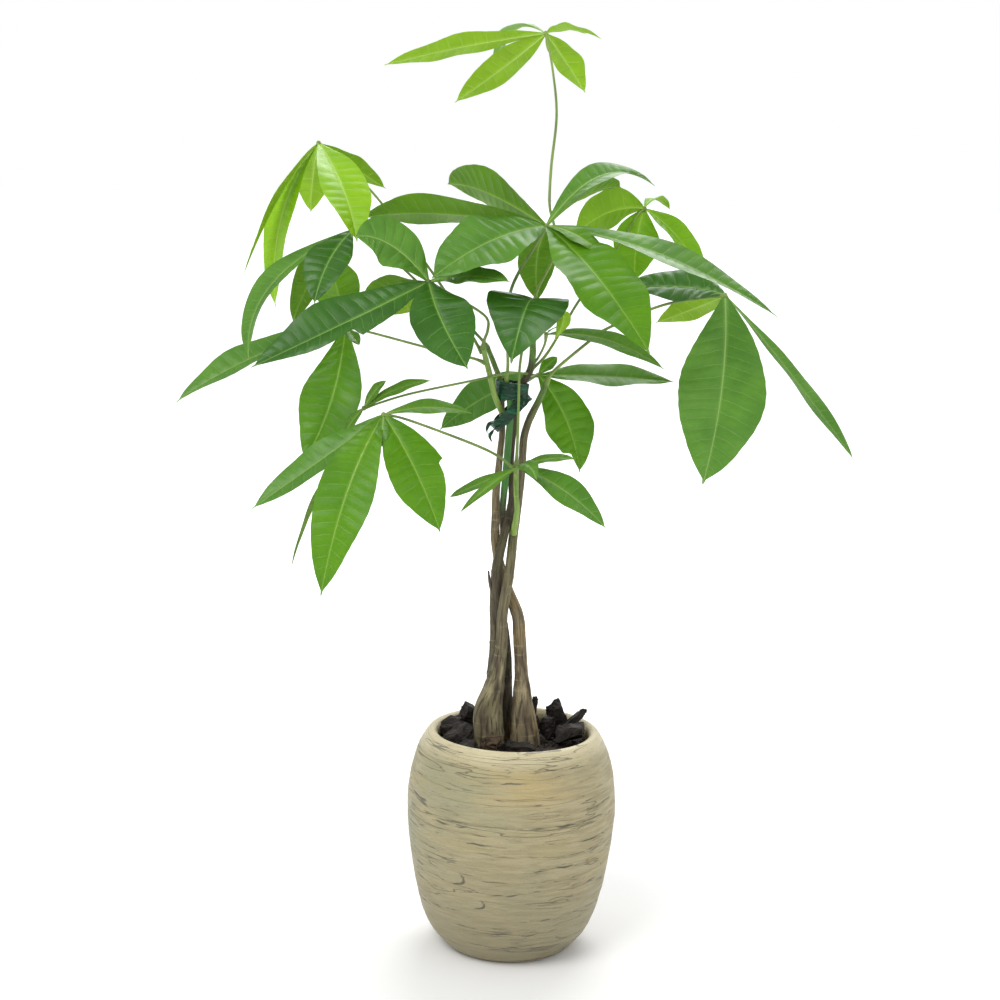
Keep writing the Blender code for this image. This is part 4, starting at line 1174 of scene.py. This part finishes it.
@dataclass
class Pot:
    """The barrel pot: turned from its profile, then given its grain."""

    outside: Sequence[tuple[float, float]] = (
        (47, 0), (51.5, 2), (56, 7), (64, 17), (70, 31), (75, 50), (79.5, 75), (82.5, 100), (83, 118),
        (81.5, 138), (77.5, 156), (72, 169), (67.5, 175.5), (64, 177))
    inside: Sequence[tuple[float, float]] = (
        (61.5, 175.5), (60, 172), (60.5, 166), (66, 150), (72, 118), (69, 78), (63, 48), (52, 26),
        (40, 15))
    floor: float = 12
    steps: int = 330
    row: float = 0.78
    girth: float = 80.0
    loose_cracks: int = 190
    back_cracks: int = 24
    knots: Sequence[Knot] = (Knot(-33, 76, 7.5), Knot(-20, 57, 6.0, 0.8), Knot(95, 120, 6, 0.7),
                             Knot(170, 70, 8, 0.8), Knot(-120, 128, 5, 0.6), Knot(-3, 165, 2.6, 0.6))
    cracks: Sequence[Crack] = (
        Crack(35, 122, 72, 1.1, 1.0, 0.02), Crack(33, 86, 66, 1.0, 0.95, 0.03),
        Crack(-4, 155, 44, 1.0, 0.8), Crack(26, 165, 36, 0.8, 0.7), Crack(-65, 134, 40, 2.2, 0.85, -0.12),
        Crack(-56, 128, 30, 1.8, 0.8, -0.2), Crack(-36, 120, 34, 1.0, 1.0, 0.05),
        Crack(-18, 108, 46, 0.8, 0.9, -0.06), Crack(-6, 68, 72, 0.9, 0.85), Crack(-4, 32, 52, 0.8, 0.8),
        Crack(1, 19, 84, 0.9, 0.75), Crack(52, 108, 46, 0.9, 0.7, 0.05),
        Crack(58, 132, 38, 1.6, 0.7, 0.04), Crack(-44, 96, 40, 0.8, 0.6, -0.1),
        Crack(-60, 62, 44, 0.9, 0.6, -0.1), Crack(20, 60, 40, 0.7, 0.6, 0.06),
        Crack(30, 45, 60, 0.8, 0.7), Crack(-32, 148, 42, 0.8, 0.5, -0.04),
        Crack(-50, 44, 36, 1.4, 0.5, -0.1), Crack(8, 98, 56, 0.9, 0.55),
        Crack(50, 68, 40, 0.8, 0.7, 0.05))

    def profile(self) -> list[tuple[float, float]]:
        """The pot's section from the middle of its floor, over the lip, to its foot."""
        outer = smooth_path([(r, 0, z, 1) for r, z in self.outside], self.row)
        inner = smooth_path([(r, 0, z, 1) for r, z in self.inside], self.row * 6)
        walls = [(p.x, p.z) for p, _ in inner[::-1]] + [(p.x, p.z) for p, _ in outer[::-1]]
        return [(0, self.floor), (20, self.floor), *walls, (30, 0), (15, 0), (0, 0)]

    def all_cracks(self) -> list[Crack]:
        """The chief cracks and many small loose ones between them."""
        draws = random.Random("grain")
        loose = []
        for _ in range(self.loose_cracks):
            depth = draws.uniform(0.25, 0.8) * draws.uniform(0.5, 1)
            loose.append(Crack(draws.uniform(-180, 180), draws.uniform(4, 172), draws.uniform(12, 64),
                               draws.uniform(0.35, 0.75), depth, draws.uniform(-0.05, 0.05)))
        around = [Crack(draws.uniform(75, 285), draws.uniform(12, 166), draws.uniform(30, 80),
                        draws.uniform(0.7, 1.4), draws.uniform(0.6, 1.0), draws.uniform(-0.06, 0.06))
                  for _ in range(self.back_cracks)]
        return [*self.cracks, *around, *loose]

    def grooves(self, turn: np.ndarray, height: np.ndarray) -> np.ndarray:
        """How deep the grain is all over the outside.

        Args:
            turn: degrees round from the front of each point.
            height: height of each point, in millimetres.

        Returns:
            0 on the open surface to 1 in the deepest crack, for each point.
        """
        level = height + 1.2 * np.sin(np.radians(turn) * 3 + height / 26)
        deep = np.zeros_like(height)
        for knot in self.knots:
            run = (((turn - knot.turn + 180) % 360) - 180) * math.radians(self.girth)
            rise = height - knot.height
            reach = np.hypot(run / 1.35, rise)
            level = level - 0.8 * rise * np.exp(-(reach / (1.25 * knot.size)) ** 2)
            bend = np.arctan2(rise, run)
            reach = reach * (1 + 0.09 * np.sin(2 * bend + knot.turn) + 0.05 * np.sin(5 * bend))
            swirl = np.cos(reach * (7.2 / knot.size) - 0.6 * np.sin(bend) + 0.5)
            crescent = 0.2 + 0.8 * np.clip(np.cos(bend + 0.6), 0, 1)
            inside = np.clip((1.1 * knot.size - reach) / (0.22 * knot.size), 0, 1)
            deep = np.maximum(deep, knot.depth * np.clip(swirl - 0.35, 0, 1) * 1.5 * crescent * inside)
        draws = random.Random("wobble")
        for crack in self.all_cracks():
            run = (((turn - crack.turn + 180) % 360) - 180) * math.radians(self.girth)
            near = np.abs(run) < crack.length / 2
            share = np.clip(1 - (2 * run[near] / crack.length) ** 2, 0, 1)
            shift = draws.uniform(0, math.tau)
            here = run[near]
            line = crack.height + crack.slope * here + 0.45 * np.sin(here / 6.5 + shift)
            line += 0.3 * np.sin(here / 2.3 + 2 * shift) + 0.9 * np.sin(here / 19 + 3 * shift)
            uneven = 0.8 + 0.3 * np.sin(here / 3.1 + shift)
            width = 0.72 * crack.width * (0.45 + 0.55 * share ** 0.5) * uneven
            off = (level[near] - line) / np.maximum(width, 0.2)
            soft = np.where(off > 0, np.exp(-(off * 1.35) ** 2), np.exp(-(off * 0.8) ** 2))
            broken = np.clip(0.85 + 0.5 * np.sin(here / 4.7 + 5 * shift), 0.4, 1)
            deep[near] = np.maximum(deep[near], crack.depth * soft * share ** 0.35 * broken)
        return np.clip(deep, 0, 1)

    def build(self) -> bpy.types.Object:
        """Turn the profile, press the grain into it and dress it; returns the piece."""
        mesh = bpy.data.meshes.new("fine_pot")
        pot = new_object("fine_pot", mesh)
        profile = self.profile()
        mesh.from_pydata([(profile[0][0] * MM, 0, profile[0][1] * MM)], [], [])
        make_active(pot)
        bpy.ops.object.mode_set(mode="EDIT")
        bpy.ops.mesh.select_all(action="SELECT")
        for (r0, z0), (r1, z1) in zip(profile, profile[1:]):
            bpy.ops.mesh.extrude_region_move(
                TRANSFORM_OT_translate={"value": ((r1 - r0) * MM, 0, (z1 - z0) * MM)})
        bpy.ops.mesh.select_all(action="SELECT")
        bpy.ops.mesh.spin(steps=self.steps, angle=math.tau, center=(0, 0, 0), axis=(0, 0, 1))
        bpy.ops.mesh.select_all(action="SELECT")
        bpy.ops.mesh.remove_doubles(threshold=0.00002)
        bpy.ops.mesh.normals_make_consistent(inside=False)
        bpy.ops.object.mode_set(mode="OBJECT")
        self.carve(pot)
        mesh.materials.append(PotFinish().make("cast_pot"))
        smooth(pot, 60)
        return pot

    def carve(self, pot: bpy.types.Object) -> None:
        """Press the grain into the outside and note its depth for the finish."""
        mesh = pot.data
        spots = np.empty(len(mesh.vertices) * 3)
        mesh.vertices.foreach_get("co", spots)
        spots = spots.reshape(-1, 3) / MM
        radius = np.hypot(spots[:, 0], spots[:, 1])
        height = spots[:, 2]
        angle = np.arctan2(spots[:, 1], spots[:, 0])
        inner = np.interp(height, [z for _, z in self.inside[::-1]], [r for r, _ in self.inside[::-1]])
        outside = np.where(height > 171, radius > 63.5, radius > inner + 3).astype(float)
        foot_fade = np.clip((height - 3) / 8, 0, 1)
        lip_fade = np.where(height > 160, np.clip((radius - 66) / 5, 0, 1), 1.0)
        deep = self.grooves(np.degrees(angle) + 90, height) * outside
        soft = (0.2 + 0.8 * lip_fade) * (0.4 + 0.6 * foot_fade)
        mark = mesh.attributes.new(GROOVE_MARK, "FLOAT", "POINT")
        mark.data.foreach_set("value", (deep * soft).astype(np.float32))
        around = np.stack([np.cos(angle), np.sin(angle)], axis=1)
        wave = np.array([noise.noise(Vector((x * 1.7, y * 1.7, z / 13)))
                         for (x, y), z in zip(around, height)])
        fine = np.array([noise.noise(Vector((x * 3.6, y * 3.6, z / 2.6)))
                         for (x, y), z in zip(around, height)])
        rough = np.array([noise.noise(Vector((x * 26, y * 26, z / 1.7)))
                          for (x, y), z in zip(around, height)])
        worn = np.clip(wave * 3 - 0.2, 0, 1)
        relief = 0.35 * wave + 0.2 * fine + 0.3 * rough * worn - 0.8 * deep
        relief *= lip_fade * foot_fade * outside * (radius > 1)
        spots[:, :2] += around * relief[:, None]
        mesh.vertices.foreach_set("co", (spots * MM).ravel())
        mesh.update()


# --------------------------------------------------------- soil and bark chips
SOIL_TOP = 165.0
SOIL_RADIUS = 60.0
ON_SOIL = SOIL_TOP + 0.3


@dataclass
class Soil:
    """Lumpy potting mix up to its level, with crumbs lying loose on it."""

    crumbs: int = 420
    rings: int = 44
    steps: int = 144
    depth: float = 18.0

    def build(self) -> bpy.types.Object:
        """Model the soil and its crumbs as one piece; returns the piece."""
        deselect_all()
        bpy.ops.mesh.primitive_cylinder_add(
            vertices=self.steps, radius=SOIL_RADIUS * MM, depth=self.depth * MM, end_fill_type="NGON",
            location=(0, 0, (SOIL_TOP - self.depth / 2) * MM))
        soil = bpy.context.object
        soil.name = soil.data.name = "fine_soil"
        settle(soil)
        bpy.ops.object.mode_set(mode="EDIT")
        bpy.ops.mesh.select_all(action="DESELECT")
        work = bmesh.from_edit_mesh(soil.data)
        for face in work.faces:
            face.select = face.normal.z > 0.9
        bmesh.update_edit_mesh(soil.data)
        for _ in range(self.rings):
            bpy.ops.mesh.inset(thickness=SOIL_RADIUS * MM / (self.rings + 1))
        bpy.ops.mesh.poke()
        bpy.ops.object.mode_set(mode="OBJECT")
        for vert in soil.data.vertices:
            if vert.co.z > SOIL_TOP * MM - 0.001 and vert.co.xy.length < (SOIL_RADIUS - 0.6) * MM:
                spot = vert.co / MM
                heap = 1.1 * noise.noise(spot * 0.09) + 0.9 * abs(noise.noise(spot * 0.45))
                vert.co.z += (heap + 0.35 * noise.noise(spot * 1.3) - 0.6) * MM
        self.scatter(soil)
        soil.data.materials.clear()
        soil.data.materials.append(SoilFinish().make("potting_mix"))
        smooth(soil, 70)
        return soil

    def scatter(self, soil: bpy.types.Object) -> None:
        """Drop small crumbs of bark all over the soil's surface."""
        draws = random.Random("crumbs")
        work = bmesh.new()
        work.from_mesh(soil.data)
        for _ in range(self.crumbs):
            away = (SOIL_RADIUS - 3) * math.sqrt(draws.random())
            turn = draws.uniform(0, math.tau)
            size = draws.uniform(0.9, 2.6)
            made = bmesh.ops.create_icosphere(work, subdivisions=1, radius=size * MM)["verts"]
            shape = Matrix.Diagonal((draws.uniform(0.6, 1.6), draws.uniform(0.5, 1.0),
                                     draws.uniform(0.3, 0.6)))
            spin = Matrix.Rotation(draws.uniform(0, math.pi), 3, "Z") @ shape
            spot = Vector((away * math.cos(turn), away * math.sin(turn), ON_SOIL)) * MM
            for vert in made:
                rough = 1 + 0.5 * noise.noise(vert.co / MM * 0.8 + spot / MM)
                vert.co = spin @ (vert.co * rough) + spot
        work.to_mesh(soil.data)
        work.free()


CHIP_PLANS: dict[str, tuple[tuple[float, float], Point, Point]] = {
    "chip_left_large": ((-44, -9), (25, 22, 7), (8, -30, 20)),
    "chip_left_rim": ((-49, 12), (21, 14, 11), (0, -22, 60)),
    "chip_left_block": ((-35, 29), (16, 14, 18), (10, 24, 25)),
    "chip_left_front": ((-36, -34), (18, 14, 7), (14, 0, -30)),
    "chip_front_flat": ((4, -30), (27, 12, 7), (8, 3, 4)),
    "chip_root_crust": ((-18, -27), (15, 10, 9), (20, 6, -20)),
    "chip_right_slab": ((35, 32), (14, 11, 25), (4, -22, 10)),
    "chip_right_shard": ((46, 18), (33, 10, 5), (0, -43, 6)),
    "chip_right_large": ((45, -5), (22, 24, 14), (-4, -8, -6)),
    "chip_right_inner": ((27, 10), (9, 13, 20), (0, -6, 25)),
    "chip_sliver": ((15, 19), (4, 5, 32), (6, 5, 30)),
    "chip_back_left": ((-24, 46), (18, 12, 9), (6, 4, 28)),
    "chip_back_middle": ((-5, 42), (13, 15, 10), (0, 9, -30)),
    "chip_back_right": ((14, 47), (17, 13, 8), (9, 0, -18)),
}
ROOT_CRUST = CharredBarkFinish((0.030, 0.020, 0.013), (0.11, 0.075, 0.045), 0.7)


@dataclass
class BarkChip:
    """A chip of charred bark: a block with its corners struck off and long fibres."""

    node: str
    place: tuple[float, float]
    size: Point
    turn: Point
    finish: CharredBarkFinish = field(default_factory=CharredBarkFinish)
    strikes: int = 13
    cuts: int = 5

    def build(self) -> bpy.types.Object:
        """Model the chip; returns the finished piece."""
        draws = random.Random(self.node)
        deselect_all()
        bpy.ops.mesh.primitive_cube_add(size=MM)
        chip = bpy.context.object
        chip.name = chip.data.name = f"fine_{self.node}"
        chip.scale = self.size
        settle(chip)
        low, wide, tall = (v * MM / 2 for v in self.size)
        bpy.ops.object.mode_set(mode="EDIT")
        for _ in range(self.strikes):
            way = Vector((draws.choice((-1, 1)) * draws.uniform(0.25, 1), draws.choice((-1, 1))
                          * draws.uniform(0.25, 1), draws.choice((-1, 1)) * draws.uniform(0.2, 1)))
            corner = Vector((math.copysign(low, way.x), math.copysign(wide, way.y),
                             math.copysign(tall, way.z)))
            way.normalize()
            depth = sorted(self.size)[1] * MM * draws.uniform(0.08, 0.46)
            bpy.ops.mesh.select_all(action="SELECT")
            bpy.ops.mesh.bisect(plane_co=corner - way * depth, plane_no=way, use_fill=True,
                                clear_outer=True)
        bpy.ops.mesh.select_all(action="SELECT")
        bpy.ops.mesh.remove_doubles(threshold=0.0001)
        bpy.ops.mesh.select_all(action="SELECT")
        bpy.ops.mesh.quads_convert_to_tris()
        bpy.ops.mesh.subdivide(number_cuts=self.cuts)
        bpy.ops.mesh.normals_make_consistent(inside=False)
        bpy.ops.object.mode_set(mode="OBJECT")
        seed = Vector(self.turn)
        for vert in chip.data.vertices:
            spot = vert.co / MM
            fibre = noise.noise(Vector((spot.x * 0.12, spot.y * 0.9, spot.z * 0.9)) + seed)
            splinter = abs(noise.noise(Vector((spot.x * 0.09, spot.y * 0.42, spot.z * 0.42)) + seed))
            bow = noise.noise(spot * 0.11 + seed)
            vert.co += vert.normal * (0.6 * fibre - 2.1 * splinter + 1.3 * bow) * MM
            vert.co.z += 0.9 * noise.noise(Vector((spot.x * 0.16, spot.y * 0.1, 0)) + seed) * MM
        chip.rotation_euler = [math.radians(a) for a in self.turn]
        settle(chip)
        drop = ON_SOIL * MM - min(v.co.z for v in chip.data.vertices)
        chip.location = (self.place[0] * MM, self.place[1] * MM, drop)
        settle(chip)
        chip.data.materials.append(self.finish.make(f"bark_{self.node}"))
        smooth(chip, 24)
        return chip


# ----------------------------------------------------------------------- tie
@dataclass
class Tie:
    """Garden tape wound round the top of the braid, with a strap and frayed ends."""

    turns: Sequence[tuple[Point, float, float, float]] = (
        ((-8.5, 0.5, 450), 13.4, 12.2, -6), ((-8.5, 0.5, 445.5), 13.0, 12.6, 4),
        ((-8.75, 0.5, 430.8), 19.0, 12.8, 46))
    height: float = 8.2
    thick: float = 0.7
    end_thick: float = 0.3
    steps: int = 72
    rows: int = 6
    tails: Sequence[Sequence[Point]] = (
        ((-17.5, -9, 421), (-22, -12, 417), (-24.5, -13, 413), (-23, -14, 409)),
        ((-20, -6, 424), (-25, -8, 422), (-27, -9, 417), (-25.5, -10, 414)),
        ((-2, -12, 446), (1, -14.5, 441), (0, -15, 436), (-2, -14.5, 433)))

    def build(self) -> bpy.types.Object:
        """Model the tape and its ends as one piece; returns the piece."""
        parts = [self.turn_of_tape(k, *spec) for k, spec in enumerate(self.turns)]
        parts += [self.tail(k, route) for k, route in enumerate(self.tails)]
        tie = parts[0]
        make_active(tie)
        for part in parts[1:]:
            part.select_set(True)
        bpy.ops.object.join()
        tie.name = tie.data.name = "fine_tie"
        tie.data.materials.clear()
        tie.data.materials.append(TapeFinish().make("garden_tape"))
        smooth(tie, 40)
        return tie

    def turn_of_tape(self, number: int, centre: Point, across: float, deep: float,
                     lean: float) -> bpy.types.Object:
        """One loop of tape.

        Args:
            number: which loop, for its creases.
            centre: its middle.
            across: half its length from side to side.
            deep: half its length from front to back.
            lean: how far it leans about the Y axis, in degrees.

        Returns:
            The loop as an object.
        """
        deselect_all()
        bpy.ops.mesh.primitive_circle_add(vertices=self.steps, radius=MM)
        loop = bpy.context.object
        loop.scale = (across, deep, 1)
        settle(loop)
        bpy.ops.object.mode_set(mode="EDIT")
        bpy.ops.mesh.select_all(action="SELECT")
        for _ in range(self.rows):
            bpy.ops.mesh.extrude_region_move(
                TRANSFORM_OT_translate={"value": (0, 0, self.height * MM / self.rows)})
        bpy.ops.mesh.select_all(action="SELECT")
        bpy.ops.mesh.normals_make_consistent(inside=False)
        bpy.ops.object.mode_set(mode="OBJECT")
        for vert in loop.data.vertices:
            spot = vert.co / MM + Vector((number * 9, 0, 0))
            crease = noise.noise(Vector((spot.x * 0.35, spot.y * 0.35, spot.z * 1.1)))
            pinch = 1 - 0.06 * abs(crease)
            vert.co.x *= pinch
            vert.co.y *= pinch
            vert.co.z += (0.8 * noise.noise(spot * 0.16) - self.height / 2) * MM
        wall = loop.modifiers.new("wall", "SOLIDIFY")
        wall.thickness = self.thick * MM
        wall.offset = -1
        apply_all(loop)
        loop.rotation_euler = (0, -math.radians(lean), 0)
        loop.location = Vector(centre) * MM
        settle(loop)
        return loop

    def tail(self, number: int, route: Sequence[Point]) -> bpy.types.Object:
        """A curled loose end: a narrow strip swept along a route.

        Args:
            number: which end, for its width.
            route: the points it runs through.

        Returns:
            The end as an object.
        """
        path = smooth_path([(*p, 1) for p in route], 0.8)
        work = bmesh.new()
        rows = []
        for i, (spot, _) in enumerate(path):
            width = (2.6 - 0.4 * number) * (1 - 0.75 * i / len(path))
            side = Vector((math.cos(i * 0.22 + number), math.sin(i * 0.22 + number), 0.35)).normalized()
            rows.append([work.verts.new((spot + side * width * k) * MM) for k in (-1, -0.3, 0.4, 1)])
        for low, high in zip(rows, rows[1:]):
            for k in range(3):
                work.faces.new((low[k], low[k + 1], high[k + 1], high[k]))
        mesh = bpy.data.meshes.new("tail")
        work.to_mesh(mesh)
        work.free()
        strip = new_object("tail", mesh)
        wall = strip.modifiers.new("wall", "SOLIDIFY")
        wall.thickness = self.end_thick * MM
        wall.offset = 0
        apply_all(strip)
        return strip


# -------------------------------------------------------------------- studio
@dataclass
class Studio:
    """Pale floor, soft light and the viewpoint."""

    eye: Point = (-0.0153, -1.5, 0.6213)
    tilt: float = 80.16
    roll: float = 1.5
    lens: float = 70.2
    film: float = 36
    lamps: Sequence[tuple[str, Point, Point, float, float]] = (
        ("key", (-1.0, -1.3, 2.0), (0, 0, 0.45), 1.2, 26),
        ("fill", (1.5, -1.2, 1.1), (0, 0, 0.4), 1.4, 4),
        ("back", (0.3, 1.4, 1.9), (0, 0, 0.5), 1.4, 26))
    sky: float = 0.72
    horizon: float = 1.0
    floor_size: float = 60
    floor_gap: float = 0.0005

    def camera(self) -> None:
        """Set the viewpoint."""
        data = bpy.data.cameras.new("viewpoint")
        data.lens = self.lens
        data.sensor_width = self.film
        item = bpy.data.objects.new("viewpoint", data)
        bpy.context.scene.collection.objects.link(item)
        tilt = Matrix.Rotation(math.radians(self.tilt), 4, "X")
        roll = Matrix.Rotation(math.radians(self.roll), 4, "Z")
        item.matrix_world = Matrix.Translation(self.eye) @ tilt @ roll
        bpy.context.scene.camera = item

    def light(self) -> None:
        """Hang the lamps and set an even sky."""
        for name, place, target, size, power in self.lamps:
            data = bpy.data.lights.new(name, "AREA")
            data.size = size
            data.energy = power
            item = bpy.data.objects.new(name, data)
            bpy.context.scene.collection.objects.link(item)
            item.location = place
            item.rotation_euler = (Vector(target) - Vector(place)).to_track_quat("-Z", "Y").to_euler()
        world = bpy.data.worlds.new("sky")
        world.use_nodes = True
        tree = world.node_tree
        way = tree.nodes.new("ShaderNodeTexCoord").outputs["Generated"]
        split = tree.nodes.new("ShaderNodeSeparateXYZ")
        tree.links.new(way, split.inputs[0])
        rise = tree.nodes.new("ShaderNodeMapRange")
        tree.links.new(split.outputs[2], rise.inputs["Value"])
        for name, value in (("From Min", 0.12), ("From Max", 0.45), ("To Min", self.horizon),
                            ("To Max", self.sky)):
            rise.inputs[name].default_value = value
        tree.links.new(rise.outputs["Result"], tree.nodes["Background"].inputs["Strength"])
        tree.nodes["Background"].inputs["Color"].default_value = (1.0, 1.0, 1.0, 1.0)
        bpy.context.scene.world = world
        bpy.context.scene.view_settings.view_transform = "Standard"

    def floor(self) -> None:
        """Lay the floor."""
        deselect_all()
        bpy.ops.mesh.primitive_plane_add(size=self.floor_size, location=(0, 0, -self.floor_gap))
        plane = bpy.context.object
        plane.name = "studio_floor"
        settle(plane)
        plane.data.materials.append(FloorFinish().make("pale_floor"))


def main() -> None:
    """Build every piece in order, dress it and tie it to its node."""
    logging.basicConfig(level=logging.INFO, format="%(message)s")
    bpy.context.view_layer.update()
    hand_over(Pot().build(), "pot")
    hand_over(Soil().build(), "soil")
    for node, (place, size, turn) in CHIP_PLANS.items():
        finish = ROOT_CRUST if node == "chip_root_crust" else CharredBarkFinish()
        hand_over(BarkChip(node, place, size, turn, finish).build(), node)
    for node, plan in STEM_PLANS.items():
        hand_over(Stem(node, plan, STEM_FINISHES[node]).build(), node)
    hand_over(Tie().build(), "tie")
    wardrobe = LeafWardrobe()
    for node, plan in LEAF_PLANS.items():
        hand_over(CompoundLeaf(node, plan).build(wardrobe), node)
    studio = Studio()
    studio.floor()
    studio.light()
    studio.camera()


if __name__ == "__main__":
    main()
